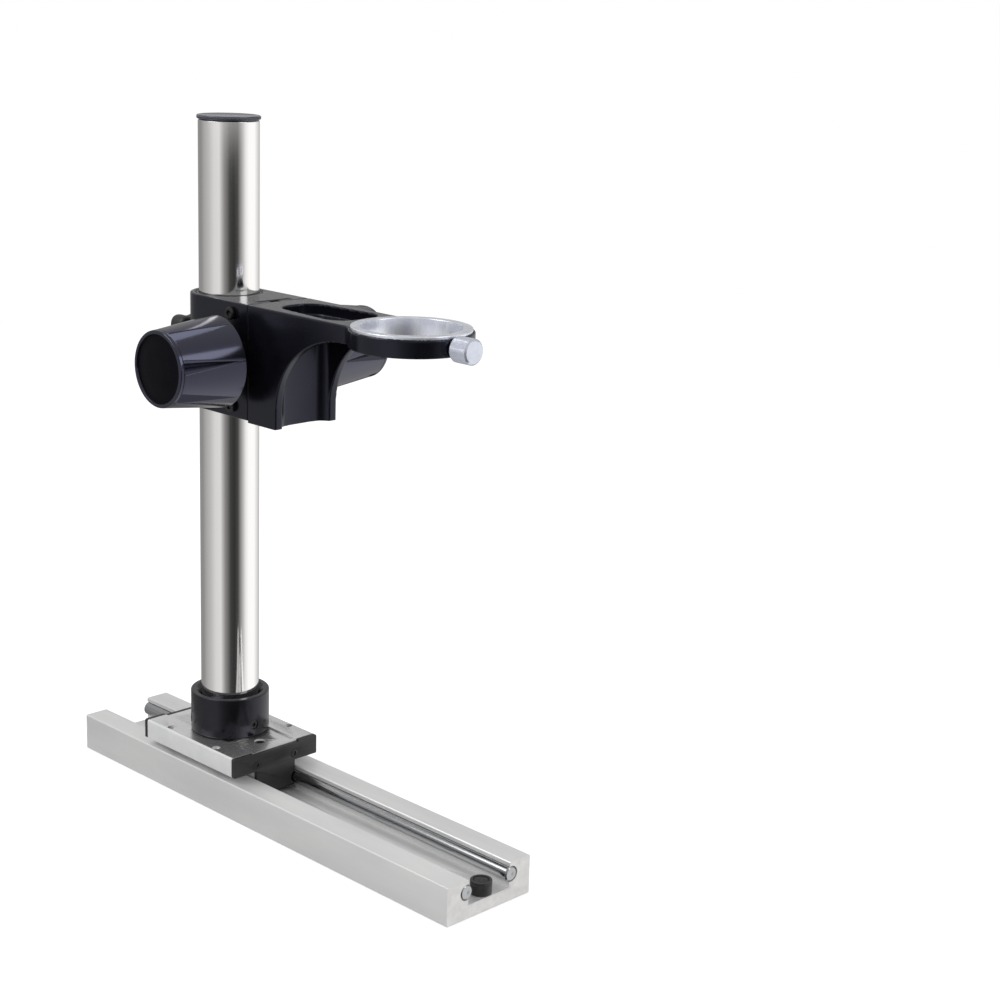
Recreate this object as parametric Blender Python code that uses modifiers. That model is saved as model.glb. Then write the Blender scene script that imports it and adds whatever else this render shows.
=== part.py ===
# Sliding column stand for a microscope body.
# A U-section rail with two inlaid steel shafts carries a roller slider. A collar on the slider holds an
# upright column, and a clamped block on the column carries a rack and pinion focus arm with a holding ring.
# All lengths are metres, +X runs along the rail towards the end with the free travel, +Z is up.
# The origin is the middle of the rail's underside.

from math import acos, asin, atan2, ceil, cos, pi, radians, sin, sqrt, tan

import bmesh
import bpy
from mathutils import Matrix, Vector

# Clearances
SEAT_GAP = 0.0003           # between faces that rest on each other, and round a pin in its hole
CAVITY_GAP = 0.0007         # round a moving piece inside a housing
CHANNEL_GAP = 0.0011        # slider spine and end caps to the channel walls
WALL_PAST_CUT = 0.002       # how far a cutter reaches past the face it opens
EDGE_ANGLE = 50             # edges sharper than this, in degrees, are rounded
FLAT_ANGLE = 0.5            # faces that meet flatter than this, in degrees, are one face

# Rail
RAIL_LENGTH = 0.306
RAIL_WIDTH = 0.058
RAIL_HEIGHT = 0.021
RAIL_EDGE = 0.0008
CHANNEL_WIDTH = 0.029
CHANNEL_FLOOR = 0.0073
CHANNEL_LIP = 0.0005
SHAFT_DIAMETER = 0.008
SHAFT_SINK = 0.0011         # from the channel wall to the shaft's centre
SHAFT_HEIGHT = 0.0144
SHAFT_CHAMFER = 0.0007
RAIL_BOLT_PITCH = 0.050
RAIL_BOLT_HOLE = 0.0055
RAIL_BOLT_HEAD = 0.0098
RAIL_BOLT_SINK = 0.0042
RAIL_BOLT_MARGIN = 0.040    # least distance from the outer bolt to the rail's end, clear of the stops

# End stops
STOP_DIAMETER = 0.0112
STOP_HEIGHT = 0.0070
STOP_LIP = 0.0009
STOP_FROM_END = {"near": 0.0057, "far": 0.0275}
STOP_SCREW = 0.004
STOP_SCREW_HEAD = 0.0078
STOP_SCREW_HEAD_HEIGHT = 0.0024
STOP_SCREW_GRIP = 0.0046

# Slider
SLIDER_REST = -0.0536
SLIDER_LENGTH = 0.0814
SLIDER_LIFT = 0.0038        # flange underside above the rail's top
FLANGE_THICKNESS = 0.011
FLANGE_EDGE = 0.0011
RECESS_WIDTH = 0.0322
RECESS_DEPTH = 0.0009
TAPPED_HOLE = 0.0048
TAPPED_SPACING_X = 0.0402
TAPPED_SPACING_Y = 0.0508
CENTRE_HOLE = 0.0062
CENTRE_HOLE_DEPTH = 0.0075
CENTRE_SPACING = 0.053
END_CAP_THICKNESS = 0.0022
END_CAP_DROP = 0.0252       # from the flange top down to the end cap's lower edge
END_CAP_SCREW = 0.003
END_CAP_SCREW_HEAD = 0.005
END_CAP_SCREW_GRIP = 0.0075
END_CAP_SCREW_SPACING = 0.0262
END_CAP_SCREW_DROP = 0.0073

# Rollers
ROLLER_OFFSET = 0.0062      # axle centre from the rail's middle plane
ROLLER_SPACING = {"outer": 0.060, "inner": 0.029}
ROLLER_RIM = 0.0076
ROLLER_HEIGHT = 0.0088
AXLE_DIAMETER = 0.005
AXLE_HEAD = 0.009
AXLE_HEAD_HEIGHT = 0.0013
AXLE_SHOULDER = 0.0078
AXLE_SHOULDER_HEIGHT = 0.0006
AXLE_GRIP = 0.0095

# Column and collar
COLUMN_DIAMETER = 0.032
COLUMN_WALL = 0.003
COLUMN_LENGTH = 0.3372
COLUMN_CHAMFER = 0.0005
CAP_HEIGHT = 0.002
CAP_OVERHANG = 0.0007
CAP_SPIGOT = 0.010
COLLAR_DIAMETER = 0.0434
COLLAR_HEIGHT = 0.0230
COLLAR_EDGE = 0.0013
COUNTERSINK = 0.0024
SET_SCREW = 0.005
SET_SCREW_HEIGHT = 0.0082
SET_SCREW_SINK = 0.0008
SET_SCREW_ANGLES = (0, 120, 240)
FOOT_PLUG_HEIGHT = 0.026
FOOT_BOLT = 0.008
FOOT_BOLT_HEAD = 0.013
FOOT_BOLT_HEAD_HEIGHT = 0.0042
FOOT_BOLT_REACH = 0.018

# Height block on the column
BLOCK_REST = 0.2522         # height of the block's middle
BLOCK_HEIGHT = 0.0606
BLOCK_WIDTH = 0.041
BLOCK_REACH = 0.0412
BLOCK_EDGE = 0.0009
BUSH_WALL = 0.001
BUSH_SLIT = 0.002
CLAMP_BOSS = 0.017
CLAMP_BOSS_REACH = 0.0262
CLAMP_RISE = 0.001
CLAMP_STUD = 0.008
CLAMP_KNOB_RADIUS = 0.0142
CLAMP_KNOB_WAIST = 0.0112
CLAMP_KNOB_LOBES = 5
CLAMP_KNOB_THICKNESS = 0.011
CLAMP_KNOB_HUB = 0.013
SIDE_SCREW = 0.004
SIDE_SCREW_HEAD = 0.0066
SIDE_SCREW_HEAD_HEIGHT = 0.0019
SIDE_SCREW_GRIP = 0.0065
SIDE_SCREW_SETBACK = 0.0128  # behind the block's front face
SIDE_SCREW_INSET = 0.0060    # from the block's top and bottom

# Focus drive
PINION_SETBACK = 0.0100     # pinion axis behind the block's front face
PINION_RISE = 0.0009
TOOTH_MODULE = 0.0008
PINION_TEETH = 14
PRESSURE_ANGLE = 20
BACKLASH = 0.00024
PINION_WIDTH = 0.006
PINION_SHAFT = 0.006
DRIVE_BUSH = 0.012
DRIVE_BUSH_FLANGE = 0.019
RACK_LENGTH = 0.050
RACK_WIDTH = 0.006
RACK_BACK = 0.0016
SLIDE_BAR_DEPTH = 0.0052
SLIDE_BAR_WIDTH = 0.017
SLIDE_BAR_FLARE = 30        # dovetail flank angle in degrees
SLIDE_BAR_LENGTH = 0.060
SLIDE_SCREW = 0.003
SLIDE_SCREW_HEAD = 0.0052
SLIDE_SCREW_GRIP = 0.006
SLIDE_SCREW_SPACING_Y = 0.0125
SLIDE_SCREW_SPACING_Z = 0.044

# Focus knobs
KNOB_GAP = 0.0100           # knob's inner end from the block's side
KNOB_LENGTH = 0.039
KNOB_INNER_RADIUS = 0.0240
KNOB_OUTER_RADIUS = 0.0196
KNOB_EDGE = 0.0016
KNOB_HUB = 0.018
KNOB_HOLLOW = 0.006
KNOB_HOLLOW_WALL = 0.0035
KNOB_FACE_GROOVE = 0.0011
KNOB_FACE_DOME = 0.0014
KNOB_FLUTES = 7
KNOB_FACE_DISC = 0.0022     # plain round disc in front of the flutes
FLUTE_DEPTH = 0.0030
FLUTE_LENGTH = 0.0352
FLUTE_TURN = 10             # angle of the first flute, in degrees from the front

# Focus arm
ARM_GAP = 0.0003            # arm's rear face to the block's front face
ARM_WIDTH = 0.041
ARM_FOOT_DROP = 0.0010      # arm's foot below the block's underside
ARM_REACH = 0.142
ARM_EDGE = 0.0010
ARCH_EDGE = 0.0024          # fillet along the outer edges of the arches
ARCH_FADE = 0.0065          # height below the deck over which that fillet narrows
DECK_THICKNESS = 0.0092
WEB_THICKNESS = 0.0172
RIB_FOOT = 0.0225           # rib's depth at the foot, from the arm's rear face
RIB_THICKNESS = 0.0044
ARCH_RADIUS = 0.0480
ARCH_FOOT = 0.0090          # straight part of the rib above the foot
ARCH_STEPS = 10
SCOOP_CORNER = 0.007
SCOOP_RISE = 0.0004         # scoop's roof above the deck's underside
POCKET_START = 0.0120       # from the arm's rear face
POCKET_LENGTH = 0.053
POCKET_DEPTH = 0.0062
POCKET_REAR_WIDTH = 0.025
POCKET_FRONT_WIDTH = 0.033
POCKET_CORNER = 0.0105
RING_DIAMETER = 0.0662
RING_FILLET = 0.018

# Ring insert and its thumb screw
RING_BORE = 0.050
INSERT_WALL = 0.0026
INSERT_FLANGE = 0.0022      # flange past the insert's body
INSERT_FLANGE_HEIGHT = 0.0026
INSERT_PROUD = 0.0014
INSERT_CHAMFER = 0.0005
THUMB_STUD = 0.006
THUMB_HEAD = 0.013
THUMB_HEAD_LENGTH = 0.0094
THUMB_HEAD_CHAMFER = 0.0009
THUMB_HEAD_GAP = 0.0007

# Finishes: colour, roughness, metallic
FINISHES = {
    "satin_aluminium": ((0.72, 0.72, 0.72), 0.38, 1.0),
    "bright_aluminium": ((0.86, 0.87, 0.90), 0.22, 1.0),
    "ground_steel": ((0.62, 0.62, 0.63), 0.18, 1.0),
    "chrome": ((0.78, 0.78, 0.77), 0.06, 1.0),
    "black_oxide": ((0.035, 0.035, 0.038), 0.42, 0.6),
    "black_enamel": ((0.016, 0.016, 0.019), 0.34, 0.0),
    "black_anodised": ((0.025, 0.025, 0.027), 0.36, 0.3),
    "black_plastic": ((0.022, 0.023, 0.026), 0.45, 0.0),
    "black_rubber": ((0.018, 0.018, 0.018), 0.70, 0.0),
    "brass": ((0.66, 0.52, 0.27), 0.30, 1.0),
}

# Sizes that follow from the ones above
shaft_radius = SHAFT_DIAMETER / 2
shaft_side = CHANNEL_WIDTH / 2 + SHAFT_SINK
flange_bottom = RAIL_HEIGHT + SLIDER_LIFT
flange_top = flange_bottom + FLANGE_THICKNESS
recess_floor = flange_top - RECESS_DEPTH
roller_top = SHAFT_HEIGHT + ROLLER_HEIGHT / 2
roller_bottom = SHAFT_HEIGHT - ROLLER_HEIGHT / 2
spine_bottom = roller_top + AXLE_SHOULDER_HEIGHT + 2 * SEAT_GAP
spine_half = CHANNEL_WIDTH / 2 - CHANNEL_GAP
block_length = SLIDER_LENGTH - 2 * (END_CAP_THICKNESS + SEAT_GAP)
column_radius = COLUMN_DIAMETER / 2
column_bottom = recess_floor + SEAT_GAP
column_top = column_bottom + COLUMN_LENGTH
collar_bottom = flange_top + SEAT_GAP
collar_top = collar_bottom + COLLAR_HEIGHT
bush_radius = column_radius + SEAT_GAP + BUSH_WALL
block_bore = bush_radius + SEAT_GAP
pinion_x = BLOCK_REACH - PINION_SETBACK
pitch_radius = TOOTH_MODULE * PINION_TEETH / 2
tooth_addendum = 0.9 * TOOTH_MODULE
tooth_dedendum = 1.15 * TOOTH_MODULE
slide_flare = tan(radians(SLIDE_BAR_FLARE))
slide_half = SLIDE_BAR_WIDTH / 2 + slide_flare * SLIDE_BAR_DEPTH
bush_start = slide_half + CAVITY_GAP
arm_rear = BLOCK_REACH + ARM_GAP
arm_top = BLOCK_HEIGHT / 2
arm_bottom = -BLOCK_HEIGHT / 2 - ARM_FOOT_DROP
deck_bottom = arm_top - DECK_THICKNESS
insert_radius = RING_BORE / 2 + INSERT_WALL
ring_radius = RING_DIAMETER / 2
knob_start = BLOCK_WIDTH / 2 + KNOB_GAP
knob_end = knob_start + KNOB_LENGTH

for old in list(bpy.data.objects):
    bpy.data.objects.remove(old)

parts = bpy.data.collections.new("sliding_column_stand")
cutters = bpy.data.collections.new("cutters")
bpy.context.scene.collection.children.link(parts)
bpy.context.scene.collection.children.link(cutters)

TURN_TO = {
    "+Z": Matrix.Identity(4),
    "-Z": Matrix.Rotation(pi, 4, "X"),
    "+X": Matrix.Rotation(pi / 2, 4, "Y"),
    "-X": Matrix.Rotation(-pi / 2, 4, "Y"),
    "+Y": Matrix.Rotation(-pi / 2, 4, "X"),
    "-Y": Matrix.Rotation(pi / 2, 4, "X"),
}


# Outlines

def arc(centre, radius, start, end, steps):
    # Points on an arc, angles in radians.
    points = []
    for step in range(steps + 1):
        angle = start + (end - start) * step / steps
        points.append((centre[0] + radius * cos(angle), centre[1] + radius * sin(angle)))
    return points


def steps_round(radius):
    # Facets for a full circle of this radius.
    return max(12, min(48, 4 * ceil(radius / 0.002)))


def rounded(corners, closed=True):
    # A polygon whose corners (x, y, radius) are turned into arcs.
    points = []
    for index, (x, y, radius) in enumerate(corners):
        corner = Vector((x, y))
        at_end = not closed and index in (0, len(corners) - 1)
        if radius == 0 or at_end:
            points.append((x, y))
            continue
        back = (Vector(corners[index - 1][:2]) - corner).normalized()
        ahead = (Vector(corners[(index + 1) % len(corners)][:2]) - corner).normalized()
        half = acos(max(-1.0, min(1.0, back.dot(ahead)))) / 2
        centre = corner + (back + ahead).normalized() * radius / sin(half)
        first = corner + back * radius / tan(half) - centre
        last = corner + ahead * radius / tan(half) - centre
        start = atan2(first.y, first.x)
        sweep = (atan2(last.y, last.x) - start + pi) % (2 * pi) - pi
        steps = max(2, ceil(abs(sweep) / radians(24)))
        points.extend(arc(centre, radius, start, start + sweep, steps))
    return points


# Meshes

def taken_mesh(source, name):
    # The evaluated mesh of a temporary object, welded and closed.
    bpy.context.scene.collection.objects.link(source)
    bpy.context.view_layer.update()
    graph = bpy.context.evaluated_depsgraph_get()
    mesh = bpy.data.meshes.new_from_object(source.evaluated_get(graph))
    bpy.data.objects.remove(source)
    mesh.name = name
    work = bmesh.new()
    work.from_mesh(mesh)
    bmesh.ops.remove_doubles(work, verts=work.verts, dist=0.000002)
    bmesh.ops.recalc_face_normals(work, faces=work.faces)
    work.to_mesh(mesh)
    work.free()
    return mesh


def turned(name, profile, along="+Z", ring=False, steps=None):
    # A profile of (radius, height), top to bottom on its outer side, turned about its axis.
    mesh = bpy.data.meshes.new(name)
    edges = [(index, index + 1) for index in range(len(profile) - 1)]
    if ring:
        edges.append((len(profile) - 1, 0))
    mesh.from_pydata([(radius, 0.0, height) for radius, height in profile], edges, [])
    source = bpy.data.objects.new(name, mesh)
    screw = source.modifiers.new("turn", "SCREW")
    screw.steps = steps or steps_round(max(radius for radius, height in profile))
    screw.render_steps = screw.steps
    screw.use_merge_vertices = True
    screw.merge_threshold = 0.000002
    mesh = taken_mesh(source, name)
    mesh.shade_smooth()
    mesh.set_sharp_from_angle(angle=radians(32))
    mesh.transform(TURN_TO[along])
    return mesh


def plate(name, outlines, thickness, along="+Z"):
    # A flat outline, with any inner outlines as holes, thickened evenly about its plane.
    # along +Z keeps the outline in plan, -Y stands it up in X and Z, +X stands it up in Y and Z.
    curve = bpy.data.curves.new(name, "CURVE")
    curve.dimensions = "2D"
    curve.fill_mode = "BOTH"
    curve.extrude = thickness / 2
    for outline in outlines:
        spline = curve.splines.new("POLY")
        spline.points.add(len(outline) - 1)
        for point, (x, y) in zip(spline.points, outline):
            point.co = (x, y, 0.0, 1.0)
        spline.use_cyclic_u = True
    mesh = taken_mesh(bpy.data.objects.new(name, curve), name)
    mesh.shade_smooth()
    mesh.set_sharp_from_angle(angle=radians(32))
    if along == "-Y":
        mesh.transform(TURN_TO["-Y"])
    if along == "+X":
        mesh.transform(Matrix.Rotation(pi / 2, 4, "Z") @ TURN_TO["-Y"])
    return mesh


def block(name, low, high):
    # A box between two corners.
    work = bmesh.new()
    bmesh.ops.create_cube(work, size=1.0)
    low = Vector(low)
    high = Vector(high)
    for vertex in work.verts:
        vertex.co = (low + high) / 2 + Vector(a * b for a, b in zip(vertex.co, high - low))
    mesh = bpy.data.meshes.new(name)
    work.to_mesh(mesh)
    work.free()
    return mesh


def rod_profile(radius, low, high, chamfer=0.0):
    # A plain round bar on its axis, with chamfered ends.
    if chamfer == 0:
        return [(0, high), (radius, high), (radius, low), (0, low)]
    return [
        (0, high), (radius - chamfer, high), (radius, high - chamfer),
        (radius, low + chamfer), (radius - chamfer, low), (0, low),
    ]


def merged(name, meshes, places):
    # Copies of meshes at several places in one mesh, for a cutter that makes a pattern of holes.
    work = bmesh.new()
    for mesh, place in zip(meshes, places):
        copy = mesh.copy()
        copy.transform(Matrix.Translation(place))
        work.from_mesh(copy)
        bpy.data.meshes.remove(copy)
    mesh = bpy.data.meshes.new(name)
    work.to_mesh(mesh)
    work.free()
    return mesh


# Objects

def frame(name, place, parent=None):
    # An empty on a joint's axis, which carries the pieces that move with it.
    empty = bpy.data.objects.new(name, None)
    empty.empty_display_size = 0.02
    empty.parent = parent
    empty.location = place
    parts.objects.link(empty)
    return empty


def part(name, mesh, finish, parent, place=(0, 0, 0)):
    colour, roughness, metallic = FINISHES[finish]
    material = bpy.data.materials.new(name)
    material.use_nodes = True
    shader = material.node_tree.nodes["Principled BSDF"]
    shader.inputs["Base Color"].default_value = (*colour, 1.0)
    shader.inputs["Roughness"].default_value = roughness
    shader.inputs["Metallic"].default_value = metallic
    material.diffuse_color = (*colour, 1.0)
    piece = bpy.data.objects.new(name, mesh)
    piece.parent = parent
    piece.location = place
    piece.data.materials.clear()
    piece.data.materials.append(material)
    parts.objects.link(piece)
    return piece


def tool(name, mesh, parent, place=(0, 0, 0)):
    cutter = bpy.data.objects.new(name, mesh)
    cutter.parent = parent
    cutter.location = place
    cutter.hide_render = True
    cutter.display_type = "WIRE"
    cutters.objects.link(cutter)
    return cutter


def combine(piece, other, operation):
    step = piece.modifiers.new(other.name, "BOOLEAN")
    step.operation = operation
    step.solver = "EXACT"
    step.object = other


def cut(piece, mesh, place=(0, 0, 0)):
    combine(piece, tool(f"cut_{mesh.name}", mesh, piece.parent, place), "DIFFERENCE")


def join(piece, mesh, place=(0, 0, 0)):
    combine(piece, tool(f"join_{mesh.name}", mesh, piece.parent, place), "UNION")


def soften(piece, width, segments=2):
    # Rounded outer edges, made before any cut.
    bevel = piece.modifiers.new("edges", "BEVEL")
    bevel.width = width
    bevel.segments = segments
    bevel.limit_method = "ANGLE"
    bevel.angle_limit = radians(EDGE_ANGLE)


# Rail, shafts and stops

def rail_outline():
    # End view of the rail in Y and Z, with a round groove in each channel wall for a shaft.
    groove = shaft_radius + SEAT_GAP
    inner = CHANNEL_WIDTH / 2
    mouth = acos(SHAFT_SINK / groove)
    outer = RAIL_WIDTH / 2
    right = [(inner + CHANNEL_LIP, RAIL_HEIGHT), (inner, RAIL_HEIGHT - CHANNEL_LIP)]
    right += arc((shaft_side, SHAFT_HEIGHT), groove, pi - mouth, mouth - pi, 12)
    right += [(inner, CHANNEL_FLOOR)]
    left = [(-y, z) for y, z in reversed(right)]
    edges = rounded([
        (-outer, RAIL_HEIGHT, RAIL_EDGE), (-outer, 0, RAIL_EDGE),
        (outer, 0, RAIL_EDGE), (outer, RAIL_HEIGHT, RAIL_EDGE),
    ])
    return edges + right + left


def counterbore(name, hole, head, sink, depth):
    # Cutter for a bolt hole with a flat recess for the head, from the face at height 0 downwards.
    past = WALL_PAST_CUT
    return turned(name, [
        (0, past), (head / 2, past), (head / 2, -sink), (hole / 2, -sink), (hole / 2, -depth - past),
        (0, -depth - past),
    ], steps=16)


def make_rail():
    rail = part("rail_extrusion", plate("rail_extrusion", [rail_outline()], RAIL_LENGTH, "+X"),
                "satin_aluminium", None)
    bolts = 1 + 2 * int((RAIL_LENGTH / 2 - RAIL_BOLT_MARGIN) // RAIL_BOLT_PITCH)
    hole = counterbore("rail_bolt_hole", RAIL_BOLT_HOLE, RAIL_BOLT_HEAD, RAIL_BOLT_SINK, CHANNEL_FLOOR)
    places = [((index - (bolts - 1) / 2) * RAIL_BOLT_PITCH, 0, CHANNEL_FLOOR) for index in range(bolts)]
    cut(rail, merged("rail_bolt_holes", [hole] * bolts, places))
    depth = STOP_SCREW_GRIP + SEAT_GAP
    tapped = turned("stop_hole", rod_profile(STOP_SCREW / 2 + SEAT_GAP, -depth, WALL_PAST_CUT), steps=16)
    stops = [(sign * (RAIL_LENGTH / 2 - STOP_FROM_END[end]), 0) for end, sign in (("near", 1), ("far", -1))]
    cut(rail, merged("stop_holes", [tapped] * 2, [(x, y, CHANNEL_FLOOR) for x, y in stops]))
    for side, sign in (("left", -1), ("right", 1)):
        name = f"guide_shaft_{side}"
        profile = rod_profile(shaft_radius, -RAIL_LENGTH / 2, RAIL_LENGTH / 2, SHAFT_CHAMFER)
        part(name, turned(name, profile, "+X", steps=24), "ground_steel", None,
             (0, sign * shaft_side, SHAFT_HEIGHT))
    for end, (x, y) in zip(("near", "far"), stops):
        make_stop(end, (x, y, CHANNEL_FLOOR + SEAT_GAP))


def make_stop(end, place):
    # Rubber buffer with a lip line below its top, held down by a socket screw.
    outer = STOP_DIAMETER / 2
    top = STOP_HEIGHT
    head = STOP_SCREW_HEAD / 2
    shank = STOP_SCREW / 2
    seat = top - STOP_SCREW_HEAD_HEIGHT - SEAT_GAP
    lip = STOP_LIP
    profile = [
        (head + SEAT_GAP, top), (outer - lip / 2, top), (outer, top - lip / 2), (outer, top - lip),
        (outer - lip / 2, top - 1.5 * lip), (outer, top - 2 * lip), (outer, lip / 2), (outer - lip / 2, 0),
        (shank + SEAT_GAP, 0), (shank + SEAT_GAP, seat), (head + SEAT_GAP, seat),
    ]
    name = f"end_stop_{end}"
    part(name, turned(name, profile, ring=True, steps=24), "black_rubber", None, place)
    name = f"end_stop_screw_{end}"
    low = seat + SEAT_GAP
    profile = [
        (0, top), (head - lip / 2, top), (head, top - lip / 2), (head, low), (shank, low),
        (shank, -STOP_SCREW_GRIP), (0, -STOP_SCREW_GRIP),
    ]
    part(name, turned(name, profile, steps=16), "black_oxide", None, place)


# Slider with its end caps

def flange_corners(lower):
    # Upper half of the slider's end view, shared by the block and its end caps; lower is what hangs below.
    outer = RAIL_WIDTH / 2
    recess = RECESS_WIDTH / 2
    return [
        (outer, flange_bottom, FLANGE_EDGE / 2), (outer, flange_top, FLANGE_EDGE),
        (recess, flange_top, 0), (recess, recess_floor, 0), (-recess, recess_floor, 0),
        (-recess, flange_top, 0), (-outer, flange_top, FLANGE_EDGE), (-outer, flange_bottom, FLANGE_EDGE / 2),
    ] + lower


def cap_outline():
    # The end cap reaches into the channel and is notched round both shafts.
    notch = shaft_radius + CAVITY_GAP
    half = CHANNEL_WIDTH / 2 - CHANNEL_GAP
    mouth = acos((shaft_side - half) / notch)
    low = flange_top - END_CAP_DROP
    upper = rounded(flange_corners([]))
    right = [(half, low)]
    right += arc((shaft_side, SHAFT_HEIGHT), notch, pi + mouth, pi - mouth, 8)
    right += [(half, flange_bottom)]
    left = [(-y, z) for y, z in reversed(right)]
    return upper + left + right


def make_slider(carrier):
    outline = rounded(flange_corners([
        (-spine_half, flange_bottom, 0.0008), (-spine_half, spine_bottom, 0.0005),
        (spine_half, spine_bottom, 0.0005), (spine_half, flange_bottom, 0.0008),
    ]))
    slider = part("slider_block", plate("slider_block", [outline], block_length, "+X"),
                  "satin_aluminium", carrier)
    through = FLANGE_THICKNESS + WALL_PAST_CUT
    tapped = turned("tapped_hole", rod_profile(TAPPED_HOLE / 2, -through, WALL_PAST_CUT), steps=16)
    corners = [(x * TAPPED_SPACING_X / 2, y * TAPPED_SPACING_Y / 2, flange_top)
               for x in (-1, 1) for y in (-1, 1)]
    cut(slider, merged("tapped_holes", [tapped] * 4, corners))
    blind = turned("centre_hole", rod_profile(CENTRE_HOLE / 2, -CENTRE_HOLE_DEPTH, WALL_PAST_CUT), steps=20)
    centres = [(sign * CENTRE_SPACING / 2, 0, recess_floor) for sign in (-1, 1)]
    cut(slider, merged("centre_holes", [blind] * 2, centres))
    grip = AXLE_GRIP + SEAT_GAP
    axle = turned("axle_hole", rod_profile(AXLE_DIAMETER / 2 + SEAT_GAP, -WALL_PAST_CUT, grip), steps=12)
    cut(slider, merged("axle_holes", [axle] * 4, [(x, y, spine_bottom) for x, y in roller_places()]))
    bolt = turned("foot_bolt_hole", [
        (0, recess_floor + WALL_PAST_CUT), (FOOT_BOLT / 2 + SEAT_GAP, recess_floor + WALL_PAST_CUT),
        (FOOT_BOLT / 2 + SEAT_GAP, spine_bottom + FOOT_BOLT_HEAD_HEIGHT + 2 * SEAT_GAP),
        (FOOT_BOLT_HEAD / 2 + SEAT_GAP, spine_bottom + FOOT_BOLT_HEAD_HEIGHT + 2 * SEAT_GAP),
        (FOOT_BOLT_HEAD / 2 + SEAT_GAP, spine_bottom - WALL_PAST_CUT), (0, spine_bottom - WALL_PAST_CUT),
    ], steps=24)
    cut(slider, bolt)
    grip = END_CAP_SCREW_GRIP + SEAT_GAP
    radius = END_CAP_SCREW / 2 + SEAT_GAP
    for end, sign, way in (("near", 1, "+X"), ("far", -1, "-X")):
        hole = turned(f"cap_screw_hole_{end}", rod_profile(radius, -grip, WALL_PAST_CUT), way, steps=12)
        face = sign * block_length / 2
        cut(slider, merged(f"cap_screw_holes_{end}", [hole] * 2, [(face, y, z) for y, z in cap_screws()]))
        make_end_cap(carrier, end, sign, way)


def cap_screws():
    height = flange_top - END_CAP_SCREW_DROP
    return [(-END_CAP_SCREW_SPACING / 2, height), (END_CAP_SCREW_SPACING / 2, height)]


def make_end_cap(carrier, end, sign, way):
    middle = sign * (SLIDER_LENGTH - END_CAP_THICKNESS) / 2
    outer = sign * SLIDER_LENGTH / 2
    name = f"end_cap_{end}"
    cap = part(name, plate(name, [cap_outline()], END_CAP_THICKNESS, "+X"), "black_plastic", carrier,
               (middle, 0, 0))
    shank = END_CAP_SCREW / 2
    head = END_CAP_SCREW_HEAD / 2
    cone = head - shank
    past = WALL_PAST_CUT
    sink = turned(f"cap_sink_{end}", [
        (0, past), (head + SEAT_GAP, past), (head + SEAT_GAP, 0), (shank + SEAT_GAP, -cone),
        (shank + SEAT_GAP, -END_CAP_THICKNESS - past), (0, -END_CAP_THICKNESS - past),
    ], way, steps=16)
    cut(cap, merged(f"cap_sinks_{end}", [sink] * 2, [(outer, y, z) for y, z in cap_screws()]))
    low = -END_CAP_THICKNESS - END_CAP_SCREW_GRIP
    for side, (y, z) in zip(("left", "right"), cap_screws()):
        name = f"end_cap_screw_{end}_{side}"
        profile = [(0, 0), (head, 0), (shank, -cone), (shank, low), (0, low)]
        part(name, turned(name, profile, way, steps=16), "black_oxide", carrier, (outer, y, z))


# Rollers on fixed axles

def roller_places():
    # The outer pair runs on the right shaft, and the inner pair on the left one.
    outer = ROLLER_SPACING["outer"] / 2
    inner = ROLLER_SPACING["inner"] / 2
    return [(-outer, ROLLER_OFFSET), (-inner, -ROLLER_OFFSET), (inner, -ROLLER_OFFSET), (outer, ROLLER_OFFSET)]


def make_rollers(carrier):
    groove = shaft_radius + SEAT_GAP
    centre = shaft_side - ROLLER_OFFSET
    bore = AXLE_DIAMETER / 2 + SEAT_GAP
    half = ROLLER_HEIGHT / 2
    edge = asin(sqrt(1 - ((centre - ROLLER_RIM) / groove) ** 2))
    hollow = arc((centre, 0), groove, pi - edge, pi + edge, 6)
    wheel = [(bore, half), (ROLLER_RIM, half)] + hollow + [(ROLLER_RIM, -half), (bore, -half)]
    shank = AXLE_DIAMETER / 2
    head_top = roller_bottom - SEAT_GAP - SHAFT_HEIGHT
    shoulder_top = spine_bottom - SEAT_GAP - SHAFT_HEIGHT
    shoulder_low = roller_top + SEAT_GAP - SHAFT_HEIGHT
    top = spine_bottom + AXLE_GRIP - SHAFT_HEIGHT
    pin = [
        (0, top), (shank, top), (shank, shoulder_top), (AXLE_SHOULDER / 2, shoulder_top),
        (AXLE_SHOULDER / 2, shoulder_low), (shank, shoulder_low), (shank, head_top),
        (AXLE_HEAD / 2, head_top), (AXLE_HEAD / 2, head_top - AXLE_HEAD_HEIGHT),
        (0, head_top - AXLE_HEAD_HEIGHT),
    ]
    for index, (x, y) in enumerate(roller_places(), 1):
        axle = frame(f"roller_spin_{index}", (x, y, SHAFT_HEIGHT), carrier)
        part(f"roller_{index}", turned(f"roller_{index}", wheel, ring=True, steps=20), "ground_steel", axle)
        name = f"roller_axle_{index}"
        part(name, turned(name, pin, steps=12), "black_oxide", carrier, (x, y, SHAFT_HEIGHT))


# Collar, column and their fasteners

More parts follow.
